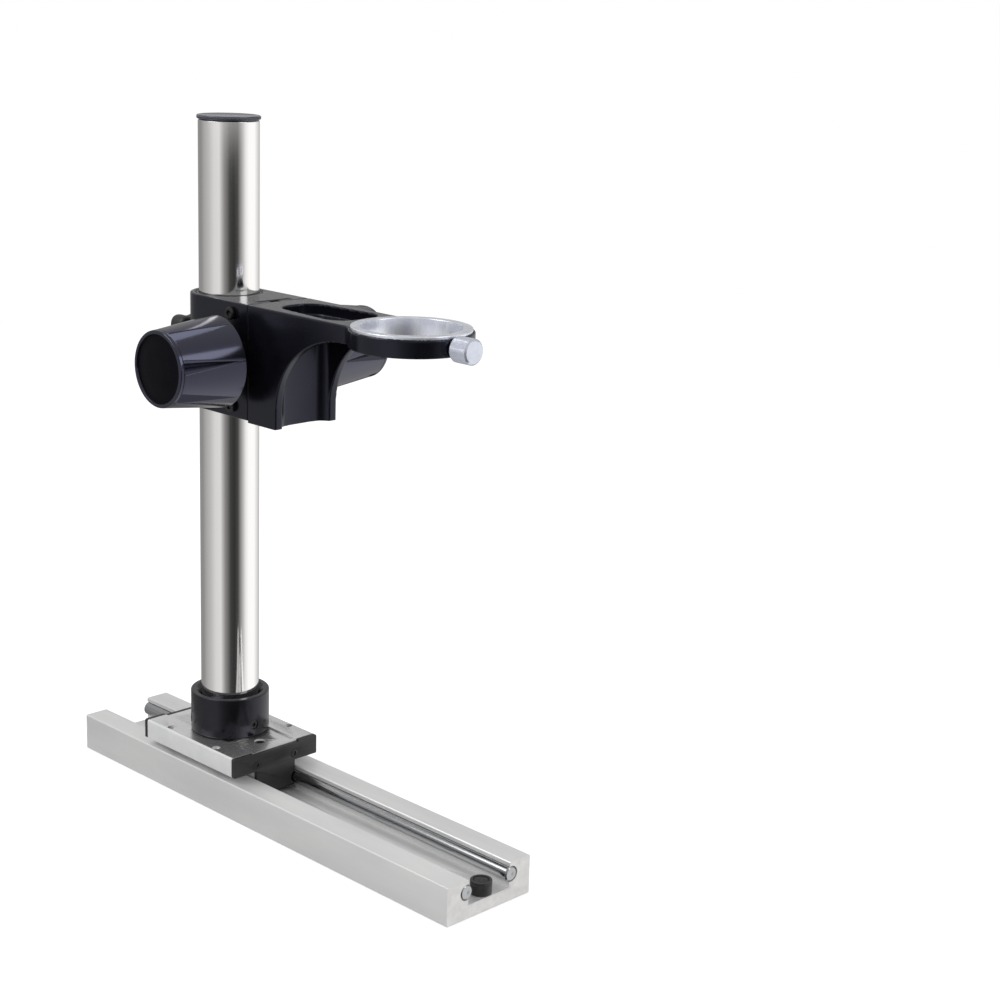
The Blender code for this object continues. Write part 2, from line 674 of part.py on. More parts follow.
def make_column(carrier):
    bore = column_radius + SEAT_GAP
    outer = COLLAR_DIAMETER / 2
    low = collar_bottom
    edge = COLLAR_EDGE
    collar_profile = [
        (bore + COUNTERSINK, collar_top), (outer - edge / 3, collar_top), (outer, collar_top - edge / 3),
        (outer, low + edge), (outer - 0.3 * edge, low + 0.3 * edge), (outer - edge, low),
        (bore, low), (bore, collar_top - COUNTERSINK),
    ]
    collar = part("column_collar", turned("column_collar", collar_profile, ring=True), "black_anodised",
                  carrier)
    height = recess_floor + SET_SCREW_HEIGHT
    for index, angle in enumerate(SET_SCREW_ANGLES, 1):
        turn = Matrix.Rotation(radians(angle), 4, "Z")
        hole = turned(f"set_screw_hole_{index}",
                      rod_profile(SET_SCREW / 2 + SEAT_GAP, column_radius - SEAT_GAP, outer + WALL_PAST_CUT),
                      "+X", steps=12)
        hole.transform(turn)
        cut(collar, hole, (0, 0, height))
        name = f"collar_set_screw_{index}"
        screw = turned(name, rod_profile(SET_SCREW / 2, bore + SEAT_GAP, outer - SET_SCREW_SINK,
                                         SET_SCREW / 12), "+X", steps=12)
        screw.transform(turn)
        part(name, screw, "black_oxide", carrier, (0, 0, height))

    inner = column_radius - COLUMN_WALL
    chamfer = COLUMN_CHAMFER
    tube = [
        (inner, column_top), (column_radius - chamfer, column_top), (column_radius, column_top - chamfer),
        (column_radius, column_bottom + chamfer), (column_radius - chamfer, column_bottom),
        (inner, column_bottom),
    ]
    part("column_tube", turned("column_tube", tube, ring=True, steps=48), "chrome", carrier)
    rim = column_radius + CAP_OVERHANG
    low = column_top + SEAT_GAP
    plug = inner - SEAT_GAP
    cap = [
        (0, low + CAP_HEIGHT), (rim - chamfer, low + CAP_HEIGHT), (rim, low + CAP_HEIGHT - chamfer),
        (rim, low), (plug, low), (plug, column_top - CAP_SPIGOT), (0, column_top - CAP_SPIGOT),
    ]
    part("column_cap", turned("column_cap", cap, steps=48), "black_plastic", carrier)

    top = column_bottom + FOOT_PLUG_HEIGHT
    bolt = FOOT_BOLT / 2
    bolt_top = column_bottom + FOOT_BOLT_REACH
    foot = [
        (0, top), (plug - chamfer, top), (plug, top - chamfer), (plug, column_bottom),
        (bolt + SEAT_GAP, column_bottom), (bolt + SEAT_GAP, bolt_top + SEAT_GAP), (0, bolt_top + SEAT_GAP),
    ]
    part("column_foot_plug", turned("column_foot_plug", foot, steps=24), "ground_steel", carrier)
    head = FOOT_BOLT_HEAD / 2
    head_low = spine_bottom + SEAT_GAP
    head_top = head_low + FOOT_BOLT_HEAD_HEIGHT
    screw = [
        (0, bolt_top), (bolt - chamfer, bolt_top), (bolt, bolt_top - chamfer), (bolt, head_top),
        (head, head_top), (head, head_low), (0, head_low),
    ]
    part("column_foot_bolt", turned("column_foot_bolt", screw, steps=20), "black_oxide", carrier)


# Height block, its split bush and its clamp

def make_height_block(slide, swivel):
    half = BLOCK_HEIGHT / 2
    bore = column_radius + SEAT_GAP
    ends = half - SEAT_GAP
    bush = part("column_bush", turned("column_bush", [
        (bore, ends), (bush_radius, ends), (bush_radius, -ends), (bore, -ends),
    ], ring=True, steps=48), "black_plastic", slide)
    cut(bush, block("bush_slit", (-BUSH_SLIT / 2, 0, -BLOCK_HEIGHT), (BUSH_SLIT / 2, 2 * bush_radius,
                                                                    BLOCK_HEIGHT)))

    side = BLOCK_WIDTH / 2
    plan = arc((0, 0), side, pi / 2, 3 * pi / 2, 18) + [(BLOCK_REACH, -side), (BLOCK_REACH, side)]
    body = part("mount_block", plate("mount_block", [plan], BLOCK_HEIGHT), "black_enamel", swivel)
    soften(body, BLOCK_EDGE)
    boss = turned("clamp_boss", rod_profile(CLAMP_BOSS / 2, block_bore + BUSH_WALL, CLAMP_BOSS_REACH, BLOCK_EDGE),
                  "-X", steps=24)
    join(body, boss, (0, 0, CLAMP_RISE))
    past = WALL_PAST_CUT
    mouth = COUNTERSINK / 2
    cut(body, turned("column_bore", [
        (0, half + past), (block_bore + mouth + past, half + past), (block_bore, half - mouth),
        (block_bore, -half + mouth), (block_bore + mouth + past, -half - past), (0, -half - past),
    ], steps=48))
    stud_hole = turned("clamp_hole", rod_profile(CLAMP_STUD / 2 + SEAT_GAP, column_radius, CLAMP_BOSS_REACH + past),
                       "-X", steps=16)
    cut(body, stud_hole, (0, 0, CLAMP_RISE))
    cut(body, plate("slide_groove", [slide_outline(SEAT_GAP, past)], BLOCK_HEIGHT + 2 * past))
    reach = BLOCK_WIDTH + 2 * past
    radius = DRIVE_BUSH / 2 + SEAT_GAP
    drive = (pinion_x, 0, PINION_RISE)
    cut(body, turned("drive_bore", rod_profile(radius, -reach / 2, reach / 2), "+Y", steps=24), drive)
    radius = pitch_radius + tooth_addendum + CAVITY_GAP
    width = PINION_WIDTH / 2 + CAVITY_GAP
    cut(body, turned("pinion_cavity", rod_profile(radius, -width, width), "+Y", steps=24), drive)
    make_side_screws(body, swivel)


def slide_outline(gap, past):
    # Plan of the dovetail; the gap widens it and past pushes its open side through the block's face.
    rear = BLOCK_REACH - SLIDE_BAR_DEPTH - gap
    front = BLOCK_REACH + past
    widen = gap / cos(radians(SLIDE_BAR_FLARE))
    rear_half = slide_half + slide_flare * gap + widen
    front_half = SLIDE_BAR_WIDTH / 2 - slide_flare * past + widen
    return [(rear, -rear_half), (front, -front_half), (front, front_half), (rear, rear_half)]


def make_side_screws(body, swivel):
    x = BLOCK_REACH - SIDE_SCREW_SETBACK
    height = BLOCK_HEIGHT / 2 - SIDE_SCREW_INSET
    side = BLOCK_WIDTH / 2
    shank = SIDE_SCREW / 2
    head = SIDE_SCREW_HEAD / 2
    grip = SIDE_SCREW_GRIP
    top = SEAT_GAP + SIDE_SCREW_HEAD_HEIGHT
    profile = [
        (0, top), (0.7 * head, top), (head, top - 0.3 * head), (head, SEAT_GAP), (shank, SEAT_GAP),
        (shank, -grip), (0, -grip),
    ]
    for hand, sign, way in (("left", -1, "-Y"), ("right", 1, "+Y")):
        hole = turned(f"side_hole_{hand}", rod_profile(shank + SEAT_GAP, -grip - SEAT_GAP, WALL_PAST_CUT),
                      way, steps=12)
        places = [(x, sign * side, level * height) for level in (1, -1)]
        cut(body, merged(f"side_holes_{hand}", [hole] * 2, places))
        for level, place in zip(("top", "bottom"), places):
            name = f"side_screw_{hand}_{level}"
            part(name, turned(name, profile, way, steps=16), "brass", swivel, place)


def make_clamp(turn):
    # Threaded stud that presses on the bush, with a lobed plastic knob on its outer end.
    shoulder = CLAMP_BOSS_REACH + SEAT_GAP
    knob_end_x = shoulder + CLAMP_KNOB_HUB
    stud = rod_profile(CLAMP_STUD / 2, block_bore, knob_end_x - 0.4 * CLAMP_KNOB_THICKNESS, SHAFT_CHAMFER)
    part("clamp_stud", turned("clamp_stud", stud, "-X", steps=16), "ground_steel", turn)
    points = []
    count = CLAMP_KNOB_LOBES * 8
    middle = (CLAMP_KNOB_RADIUS + CLAMP_KNOB_WAIST) / 2
    swing = (CLAMP_KNOB_RADIUS - CLAMP_KNOB_WAIST) / 2
    for step in range(count):
        angle = 2 * pi * step / count
        radius = middle + swing * cos(CLAMP_KNOB_LOBES * angle)
        points.append((radius * cos(angle), radius * sin(angle)))
    start = knob_end_x - CLAMP_KNOB_THICKNESS
    centre = -(start + CLAMP_KNOB_THICKNESS / 2)
    knob = part("clamp_knob", plate("clamp_knob", [points], CLAMP_KNOB_THICKNESS, "+X"), "black_plastic",
                turn, (centre, 0, 0))
    soften(knob, 0.0016)
    hub = rod_profile(CLAMP_BOSS / 2, shoulder, start + CLAMP_KNOB_THICKNESS / 2)
    join(knob, turned("clamp_hub", hub, "-X", steps=24))
    hole = rod_profile(CLAMP_STUD / 2 + SEAT_GAP, shoulder - WALL_PAST_CUT,
                       knob_end_x - 0.4 * CLAMP_KNOB_THICKNESS + SEAT_GAP)
    cut(knob, turned("clamp_knob_hole", hole, "-X", steps=16))


# Rack and pinion

def pinion_outline():
    # Involute teeth, with the first one pointing along +X.
    base = pitch_radius * cos(radians(PRESSURE_ANGLE))
    tip = pitch_radius + tooth_addendum
    root = pitch_radius - tooth_dedendum
    flat = tan(radians(PRESSURE_ANGLE)) - radians(PRESSURE_ANGLE)
    half_pitch = pi / (2 * PINION_TEETH) - BACKLASH / (4 * pitch_radius)
    profile = []
    for radius in (root, base * 1.005, pitch_radius, tip):
        lean = acos(min(1.0, base / radius))
        profile.append((radius, half_pitch + flat - (tan(lean) - lean)))
    points = []
    for tooth in range(PINION_TEETH):
        middle = 2 * pi * tooth / PINION_TEETH
        flanks = [(radius, middle - width) for radius, width in profile]
        flanks += [(radius, middle + width) for radius, width in reversed(profile)]
        points.extend((radius * cos(angle), radius * sin(angle)) for radius, angle in flanks)
    return points


def rack_outline():
    # Side view of the rack in X and Z. A gap faces the pinion's first tooth.
    pitch = pi * TOOTH_MODULE
    lean = tan(radians(PRESSURE_ANGLE))
    half = pitch / 4 - BACKLASH / 4
    tip = pinion_x + pitch_radius - tooth_addendum
    root = pinion_x + pitch_radius + tooth_dedendum
    back = root + RACK_BACK
    count = int(RACK_LENGTH / pitch)
    points = []
    for tooth in range(count):
        middle = PINION_RISE + (tooth - (count - 1) / 2) * pitch
        if count % 2:
            middle += pitch / 2
        points += [
            (root, middle - half - lean * tooth_dedendum), (tip, middle - half + lean * tooth_addendum),
            (tip, middle + half - lean * tooth_addendum), (root, middle + half + lean * tooth_dedendum),
        ]
    ends = half + lean * tooth_dedendum
    first = points[0][1] + ends - pitch / 2
    last = points[-1][1] - ends + pitch / 2
    return [(root, first)] + points + [(root, last), (back, last), (back, first)]


def make_drive(turn, swivel, slide):
    reach = knob_end - KNOB_EDGE - 0.25 * KNOB_LENGTH
    shaft = part("pinion_shaft", turned("pinion_shaft", rod_profile(PINION_SHAFT / 2, -reach, reach, SHAFT_CHAMFER),
                                        "+Y", steps=16), "ground_steel", turn)
    # The outline stands in X and Z, so its first tooth points at the rack.
    join(shaft, plate("pinion_teeth", [pinion_outline()], PINION_WIDTH, "-Y"))
    side = BLOCK_WIDTH / 2
    bore = PINION_SHAFT / 2 + SEAT_GAP
    sleeve = DRIVE_BUSH / 2
    flange = DRIVE_BUSH_FLANGE / 2
    outer = side + KNOB_GAP - SEAT_GAP
    profile = [
        (bore, outer), (flange - SHAFT_CHAMFER, outer), (flange, outer - SHAFT_CHAMFER),
        (flange, side + SEAT_GAP), (sleeve, side + SEAT_GAP), (sleeve, bush_start), (bore, bush_start),
    ]
    for hand, way in (("left", "-Y"), ("right", "+Y")):
        name = f"drive_bush_{hand}"
        part(name, turned(name, profile, way, ring=True, steps=24), "brass", swivel,
             (pinion_x, 0, PINION_RISE))
        make_focus_knob(turn, hand, way)

    bar = plate("slide_bar", [slide_outline(0, 0)], SLIDE_BAR_LENGTH)
    bar = part("slide_bar", bar, "brass", slide)
    half = RACK_WIDTH / 2 + SEAT_GAP
    depth = pinion_x + pitch_radius + tooth_dedendum + RACK_BACK + SEAT_GAP
    cut(bar, block("rack_groove", (0, -half, -SLIDE_BAR_LENGTH), (depth, half, SLIDE_BAR_LENGTH)))
    part("focus_rack", plate("focus_rack", [rack_outline()], RACK_WIDTH, "-Y"), "ground_steel", slide)
    return bar


def slide_screw_places():
    return [(y * SLIDE_SCREW_SPACING_Y / 2, z * SLIDE_SCREW_SPACING_Z / 2) for y in (-1, 1) for z in (-1, 1)]


def make_slide_screws(bar, casting, slide):
    # Countersunk from the bar's rear face, into the arm's web.
    rear = BLOCK_REACH - SLIDE_BAR_DEPTH
    shank = SLIDE_SCREW / 2
    head = SLIDE_SCREW_HEAD / 2
    cone = head - shank
    past = WALL_PAST_CUT
    length = SLIDE_BAR_DEPTH + ARM_GAP + SLIDE_SCREW_GRIP
    hole = turned("slide_screw_hole", [
        (0, past), (head + SEAT_GAP, past), (head + SEAT_GAP, 0), (shank + SEAT_GAP, -cone),
        (shank + SEAT_GAP, -length - SEAT_GAP), (0, -length - SEAT_GAP),
    ], "-X", steps=12)
    places = [(rear, y, z) for y, z in slide_screw_places()]
    cut(bar, merged("slide_screw_holes", [hole] * 4, places))
    cut(casting, merged("web_screw_holes", [hole] * 4, places))
    profile = [(0, 0), (head, 0), (shank, -cone), (shank, -length), (0, -length)]
    for index, place in enumerate(places, 1):
        name = f"slide_screw_{index}"
        part(name, turned(name, profile, "-X", steps=12), "ground_steel", slide, place)


def make_focus_knob(turn, hand, way):
    # Tapered knob with a hollow round its hub, a domed outer face and tapering V flutes.
    inner = KNOB_INNER_RADIUS
    outer = KNOB_OUTER_RADIUS
    edge = KNOB_EDGE
    start = knob_start
    end = knob_end
    bore = PINION_SHAFT / 2 + SEAT_GAP
    blind = end - KNOB_EDGE - 0.25 * KNOB_LENGTH + SEAT_GAP
    face = outer - 1.6 * edge
    groove = KNOB_FACE_GROOVE
    floor = start + KNOB_HOLLOW
    hub = KNOB_HUB / 2
    shell = inner - KNOB_HOLLOW_WALL
    profile = [
        (0, end + KNOB_FACE_DOME - groove), (0.55 * face, end + 0.7 * KNOB_FACE_DOME - groove),
        (face, end - groove), (face + 0.25 * edge, end), (outer - 0.5 * edge, end), (outer, end - 0.5 * edge),
        (inner, start + edge), (inner - 0.3 * edge, start + 0.3 * edge), (inner - edge, start),
        (shell, start), (shell - 0.001, floor), (hub, floor), (hub, start), (bore, start), (bore, blind),
        (0, blind),
    ]
    name = f"focus_knob_{hand}"
    knob = part(name, turned(name, profile, way, steps=40), "black_plastic", turn)
    slope = atan2(inner - outer, KNOB_LENGTH)
    flute = bmesh.new()
    bmesh.ops.create_cone(flute, segments=4, radius1=FLUTE_DEPTH / 50, radius2=FLUTE_DEPTH,
                          depth=FLUTE_LENGTH, cap_ends=True)
    bmesh.ops.translate(flute, verts=flute.verts, vec=(0, 0, -FLUTE_LENGTH / 2))
    bmesh.ops.rotate(flute, verts=flute.verts, matrix=Matrix.Rotation(-slope, 3, "Y"))
    behind = outer + tan(slope) * KNOB_FACE_DISC
    bmesh.ops.translate(flute, verts=flute.verts, vec=(behind, 0, end - KNOB_FACE_DISC))
    wedge = bpy.data.meshes.new("flute")
    flute.to_mesh(wedge)
    flute.free()
    wedges = bmesh.new()
    for index in range(KNOB_FLUTES):
        angle = 2 * pi * index / KNOB_FLUTES + radians(FLUTE_TURN)
        copy = wedge.copy()
        copy.transform(TURN_TO[way] @ Matrix.Rotation(angle, 4, "Z"))
        wedges.from_mesh(copy)
        bpy.data.meshes.remove(copy)
    flutes = bpy.data.meshes.new(f"flutes_{hand}")
    wedges.to_mesh(flutes)
    wedges.free()
    cut(knob, flutes)


# Focus arm

def deck_outline():
    # Plan of the arm's top plate: a straight bar that flows into the ring with a fillet on each side.
    half = ARM_WIDTH / 2
    rise = sqrt((ring_radius + RING_FILLET) ** 2 - (half + RING_FILLET) ** 2)
    lean = atan2(half + RING_FILLET, rise)
    centre = (ARM_REACH - rise, half + RING_FILLET)
    upper = [(arm_rear, half)]
    upper += arc(centre, RING_FILLET, -pi / 2, -lean, 5)
    ring = arc((ARM_REACH, 0), ring_radius, pi - lean, lean - pi, 40)
    lower = [(x, -y) for x, y in reversed(upper)]
    return upper + ring[1:-1] + lower


def arch_outline():
    # Side view in X and Z of the room below the deck, in front of the foot and under the arch.
    front = arm_rear + RIB_FOOT
    foot = arm_bottom + ARCH_FOOT
    low = arm_bottom - WALL_PAST_CUT
    far = ARM_REACH + ring_radius + WALL_PAST_CUT
    arch = []
    for step in range(ARCH_STEPS + 1):
        angle = pi / 2 * step / ARCH_STEPS
        arch.append((front + ARCH_RADIUS * (1 - cos(angle)), foot + (deck_bottom - foot) * sin(angle)))
    return [(front, low)] + arch + [(far, deck_bottom), (far, low)]


def arm_blank():
    # The deck's plan at the arm's full height, with the room under the arch cut away.
    mesh = plate("arm_blank", [deck_outline()], arm_top - arm_bottom)
    mesh.transform(Matrix.Translation((0, 0, (arm_top + arm_bottom) / 2)))
    blank = bpy.data.objects.new("arm_blank", mesh)
    room = tool("arch_room", plate("arch_room", [arch_outline()], ARM_WIDTH + RING_DIAMETER, "-Y"), None)
    combine(blank, room, "DIFFERENCE")
    mesh = taken_mesh(blank, "arm_casting")
    bpy.data.objects.remove(room)
    return mesh


def soften_arm(body):
    # A wide fillet along the arches, which fades out at the deck, and a fine one on the other outer edges.
    work = bmesh.new()
    work.from_mesh(body.data)
    bmesh.ops.dissolve_limit(work, angle_limit=radians(FLAT_ANGLE), verts=work.verts, edges=work.edges)
    share = work.edges.layers.float.new("bevel_weight_edge")
    for edge in work.edges:
        if edge.calc_face_angle(0) > radians(EDGE_ANGLE):
            middle = (edge.verts[0].co + edge.verts[1].co) / 2
            below_deck = deck_bottom - middle.z
            on_arch = abs(middle.y) > ARM_WIDTH / 2 - SEAT_GAP and middle.x > arm_rear + RIB_FOOT - SEAT_GAP
            if on_arch and below_deck > 0:
                edge[share] = min(1, below_deck / ARCH_FADE)
            elif abs(below_deck) > SEAT_GAP:
                edge[share] = ARM_EDGE / ARCH_EDGE
    work.to_mesh(body.data)
    work.free()
    soften(body, ARCH_EDGE)
    body.modifiers["edges"].limit_method = "WEIGHT"


def make_arm(slide):
    body = part("arm_casting", arm_blank(), "black_enamel", slide)
    soften_arm(body)
    past = WALL_PAST_CUT
    # Scoop between the ribs, with a rear wall curved about the ring's axis.
    half = ARM_WIDTH / 2 - RIB_THICKNESS
    scoop = ARM_REACH - arm_rear - WEB_THICKNESS
    spread = asin((half - SCOOP_CORNER) / scoop)
    wall = arc((ARM_REACH, 0), scoop, pi - spread, pi + spread, 4)
    inner = ARM_REACH - scoop * cos(spread)
    corner = SCOOP_CORNER
    plan = wall
    plan += arc((inner + corner, -half + corner), corner, pi + spread, 3 * pi / 2, 4)[1:]
    plan += [(ARM_REACH, -half), (ARM_REACH, half)]
    plan += arc((inner + corner, half - corner), corner, pi / 2, pi - spread, 4)[:-1]
    roof = deck_bottom + SCOOP_RISE
    depth = roof - arm_bottom + past
    cut(body, plate("arm_scoop", [plan], depth), (0, 0, roof - depth / 2))
    # Shallow pocket in the top of the deck.
    start = arm_rear + POCKET_START
    end = start + POCKET_LENGTH
    rear = POCKET_REAR_WIDTH / 2
    front = POCKET_FRONT_WIDTH / 2
    pocket = rounded([
        (start, -rear, POCKET_CORNER), (end, -front, POCKET_CORNER),
        (end, front, POCKET_CORNER), (start, rear, POCKET_CORNER),
    ])
    depth = POCKET_DEPTH + past
    cut(body, plate("arm_pocket", [pocket], depth), (0, 0, arm_top - POCKET_DEPTH + depth / 2))
    # Stepped bore for the ring insert.
    flange = insert_radius + INSERT_FLANGE + SEAT_GAP
    shelf = arm_top + INSERT_PROUD - INSERT_FLANGE_HEIGHT - SEAT_GAP
    cut(body, turned("insert_bore", [
        (0, arm_top + past), (flange, arm_top + past), (flange, shelf), (insert_radius + SEAT_GAP, shelf),
        (insert_radius + SEAT_GAP, deck_bottom - past), (0, deck_bottom - past),
    ], steps=48), (ARM_REACH, 0, 0))
    thumb = rod_profile(THUMB_STUD / 2 + SEAT_GAP, RING_BORE / 2, ring_radius + past)
    height = (arm_top + deck_bottom) / 2 - SEAT_GAP
    cut(body, turned("thumb_hole", thumb, "+X", steps=12), (ARM_REACH, 0, height))
    make_insert(slide, height)
    return body, height


def make_insert(slide, height):
    bore = RING_BORE / 2
    flange = insert_radius + INSERT_FLANGE
    top = arm_top + INSERT_PROUD
    chamfer = INSERT_CHAMFER
    shelf = top - INSERT_FLANGE_HEIGHT
    profile = [
        (bore + chamfer, top), (flange - chamfer, top), (flange, top - chamfer), (flange, shelf),
        (insert_radius, shelf), (insert_radius, deck_bottom), (bore + chamfer, deck_bottom),
        (bore, deck_bottom + chamfer), (bore, top - chamfer),
    ]
    insert = part("ring_insert", turned("ring_insert", profile, ring=True, steps=48), "bright_aluminium",
                  slide, (ARM_REACH, 0, 0))
    hole = rod_profile(THUMB_STUD / 2 + SEAT_GAP, bore - WALL_PAST_CUT, insert_radius + WALL_PAST_CUT)
    cut(insert, turned("insert_thumb_hole", hole, "+X", steps=12), (ARM_REACH, 0, height))


def make_thumb_screw(turn):
    # Knurled head pressed on a steel stud that reaches through the ring to the held body.
    start = ring_radius + THUMB_HEAD_GAP
    end = start + THUMB_HEAD_LENGTH
    grip = start + 0.6 * THUMB_HEAD_LENGTH
    stud = rod_profile(THUMB_STUD / 2, RING_BORE / 2 + SEAT_GAP, grip, SHAFT_CHAMFER)
    part("thumb_screw_stud", turned("thumb_screw_stud", stud, "+X", steps=12), "ground_steel", turn)
    head = THUMB_HEAD / 2
    chamfer = THUMB_HEAD_CHAMFER
    hole = THUMB_STUD / 2 + SEAT_GAP
    profile = [
        (0, end), (head - chamfer, end), (head, end - chamfer), (head, start + chamfer),
        (head - chamfer, start), (hole, start), (hole, grip + SEAT_GAP), (0, grip + SEAT_GAP),
    ]
    part("thumb_screw_head", turned("thumb_screw_head", profile, "+X", steps=32), "bright_aluminium", turn)


make_rail()
slider_travel = frame("slider_travel", (SLIDER_REST, 0, 0))
make_slider(slider_travel)
make_rollers(slider_travel)
make_column(slider_travel)
height_slide = frame("height_slide", (0, 0, BLOCK_REST), slider_travel)
block_swivel = frame("block_swivel", (0, 0, 0), height_slide)
make_height_block(height_slide, block_swivel)
clamp_turn = frame("clamp_turn", (0, 0, CLAMP_RISE), block_swivel)
make_clamp(clamp_turn)
focus_turn = frame("focus_turn", (pinion_x, 0, PINION_RISE), block_swivel)
focus_slide = frame("focus_slide", (0, 0, 0), block_swivel)
slide_bar = make_drive(focus_turn, block_swivel, focus_slide)
arm_casting, thumb_height = make_arm(focus_slide)
make_slide_screws(slide_bar, arm_casting, focus_slide)
thumb_turn = frame("thumb_turn", (ARM_REACH, 0, thumb_height), focus_slide)
make_thumb_screw(thumb_turn)
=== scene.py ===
from math import asin, atan2, cos, hypot, pi, radians, sin, sqrt, tan

import bmesh
import bpy
from mathutils import Matrix, Vector


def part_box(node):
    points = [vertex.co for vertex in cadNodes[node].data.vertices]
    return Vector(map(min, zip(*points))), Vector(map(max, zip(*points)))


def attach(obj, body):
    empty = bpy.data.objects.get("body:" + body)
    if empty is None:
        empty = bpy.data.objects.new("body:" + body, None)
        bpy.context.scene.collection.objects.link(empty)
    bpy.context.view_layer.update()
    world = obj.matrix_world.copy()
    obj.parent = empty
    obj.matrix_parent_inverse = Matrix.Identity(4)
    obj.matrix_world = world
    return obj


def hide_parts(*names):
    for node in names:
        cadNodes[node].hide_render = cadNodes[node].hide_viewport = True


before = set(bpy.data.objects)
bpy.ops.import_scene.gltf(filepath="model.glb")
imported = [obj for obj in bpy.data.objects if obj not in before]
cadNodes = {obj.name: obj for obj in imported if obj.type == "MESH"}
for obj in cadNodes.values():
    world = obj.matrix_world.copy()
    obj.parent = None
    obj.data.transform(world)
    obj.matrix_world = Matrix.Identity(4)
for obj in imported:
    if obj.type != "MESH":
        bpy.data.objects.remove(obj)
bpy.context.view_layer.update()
print("frame loaded with", len(cadNodes), "solids")

# Places that every piece is set out from, read off the solids
tubeLow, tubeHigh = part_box("column_tube")
blockLow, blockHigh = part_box("mount_block")
collarLow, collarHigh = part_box("column_collar")
insertLow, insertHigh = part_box("ring_insert")
shaftLow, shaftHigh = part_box("pinion_shaft")
thumbLow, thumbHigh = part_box("thumb_screw_head")
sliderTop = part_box("slider_block")[1].z
columnX = (tubeLow.x + tubeHigh.x) / 2
blockMiddle = (blockLow.z + blockHigh.z) / 2
collarRadius = (collarHigh.x - collarLow.x) / 2
ringX = (insertLow.x + insertHigh.x) / 2
driveX = (shaftLow.x + shaftHigh.x) / 2
driveZ = (shaftLow.z + shaftHigh.z) / 2
thumbZ = (thumbLow.z + thumbHigh.z) / 2

# Radii of broken edges, in metres
crispEdge = 0.0002
softEdge = 0.0003

# How far down a tapped hole its painted shade starts, and where it is full
paintedShadeStart = 0.0014
paintedShadeFull = 0.0024


def addNode(tree, kind, inputs=None, **settings):
    node = tree.nodes.new(kind)
    for name, value in settings.items():
        setattr(node, name, value)
    for key, value in (inputs or {}).items():
        if isinstance(value, bpy.types.NodeSocket):
            tree.links.new(value, node.inputs[key])
        else:
            node.inputs[key].default_value = value
    return node


def toLinear(code):
    channels = [int(code[start:start + 2], 16) / 255 for start in (1, 3, 5)]
    channels = [c / 12.92 if c <= 0.04045 else ((c + 0.055) / 1.055) ** 2.4 for c in channels]
    return (*channels, 1.0)


# Materials: a pattern's scale is in repeats per metre, so 1000 is one to a millimetre

def startMaterial(name, metallic=0.0, **sockets):
    # A Principled surface and the object's own coordinates, ready for its patterns.
    material = bpy.data.materials.new(name)
    material.use_nodes = True
    tree = material.node_tree
    shader = tree.nodes["Principled BSDF"]
    shader.inputs["Metallic"].default_value = metallic
    for label, value in sockets.items():
        shader.inputs[label.replace("_", " ")].default_value = value
    place = addNode(tree, "ShaderNodeTexCoord").outputs["Object"]
    return material, tree, shader, place


def drawnOut(tree, place, scale, detail):
    # Noise drawn out along an axis, as a die or a cutting tool leaves it.
    lines = addNode(tree, "ShaderNodeMapping", {"Vector": place, "Scale": scale})
    noise = addNode(tree, "ShaderNodeTexNoise", {"Vector": lines.outputs[0], "Scale": 1, "Detail": detail})
    return noise.outputs["Fac"]


def finishSurface(tree, shader, colour, gloss, relief=None):
    # Colour between two shades, roughness between two levels and a fine relief, each led by a pattern.
    if colour:
        factor, dark, light = colour
        ramp = addNode(tree, "ShaderNodeValToRGB", {"Fac": factor})
        for stop, place, shade in zip(ramp.color_ramp.elements, (0.3, 0.7), (dark, light)):
            stop.position = place
            stop.color = toLinear(shade)
        tree.links.new(ramp.outputs["Color"], shader.inputs["Base Color"])
    factor, low, high = gloss
    level = addNode(tree, "ShaderNodeMapRange", {"Value": factor, "To Min": low, "To Max": high})
    tree.links.new(level.outputs["Result"], shader.inputs["Roughness"])
    if relief:
        height, distance, strength = relief
        bump = addNode(tree, "ShaderNodeBump", {"Height": height, "Strength": strength, "Distance": distance})
        tree.links.new(bump.outputs["Normal"], shader.inputs["Normal"])


def anodisedExtrusion():
    # Clear-anodised 6063 extrusion: die lines run the length, a satin etch softens every reflection.
    material, tree, shader, place = startMaterial("clear_anodised_extrusion", 0.45)
    dieLines = drawnOut(tree, place, (6, 2400, 2400), 3)
    stain = drawnOut(tree, place, (14, 60, 60), 4)
    finishSurface(tree, shader, (stain, "#e0e0e0", "#ebebea"), (dieLines, 0.34, 0.50),
                  (dieLines, 0.00003, 0.5))
    return material


def sawnAluminium():
    # The same metal where the saw cut it: brighter, with shallow arcs about 1 mm apart.
    material, tree, shader, place = startMaterial("saw_cut_aluminium", 0.4)
    arcs = addNode(tree, "ShaderNodeMapping", {"Vector": place, "Location": (0, -0.11, 0.09)})
    blade = addNode(tree, "ShaderNodeTexWave", {
        "Vector": arcs.outputs[0], "Scale": 330, "Distortion": 1.5, "Detail": 2, "Detail Scale": 2,
    }, wave_type="RINGS", rings_direction="X").outputs["Fac"]
    blotch = addNode(tree, "ShaderNodeTexNoise", {"Vector": place, "Scale": 240, "Detail": 4}).outputs["Fac"]
    finishSurface(tree, shader, (blotch, "#d6d5d4", "#e4e3e1"), (blade, 0.36, 0.52), (blade, 0.00004, 0.4))
    return material


def milledAluminium():
    # Fine-milled and anodised plate: tight feed lines along it, a little brighter than the extrusion.
    material, tree, shader, place = startMaterial("milled_anodised_aluminium", 0.45)
    feed = drawnOut(tree, place, (10, 3000, 3000), 2)
    cloud = addNode(tree, "ShaderNodeTexNoise", {"Vector": place, "Scale": 90, "Detail": 3}).outputs["Fac"]
    finishSurface(tree, shader, (cloud, "#e6e7e8", "#f1f1f0"), (feed, 0.36, 0.50), (feed, 0.00002, 0.4))
    return material


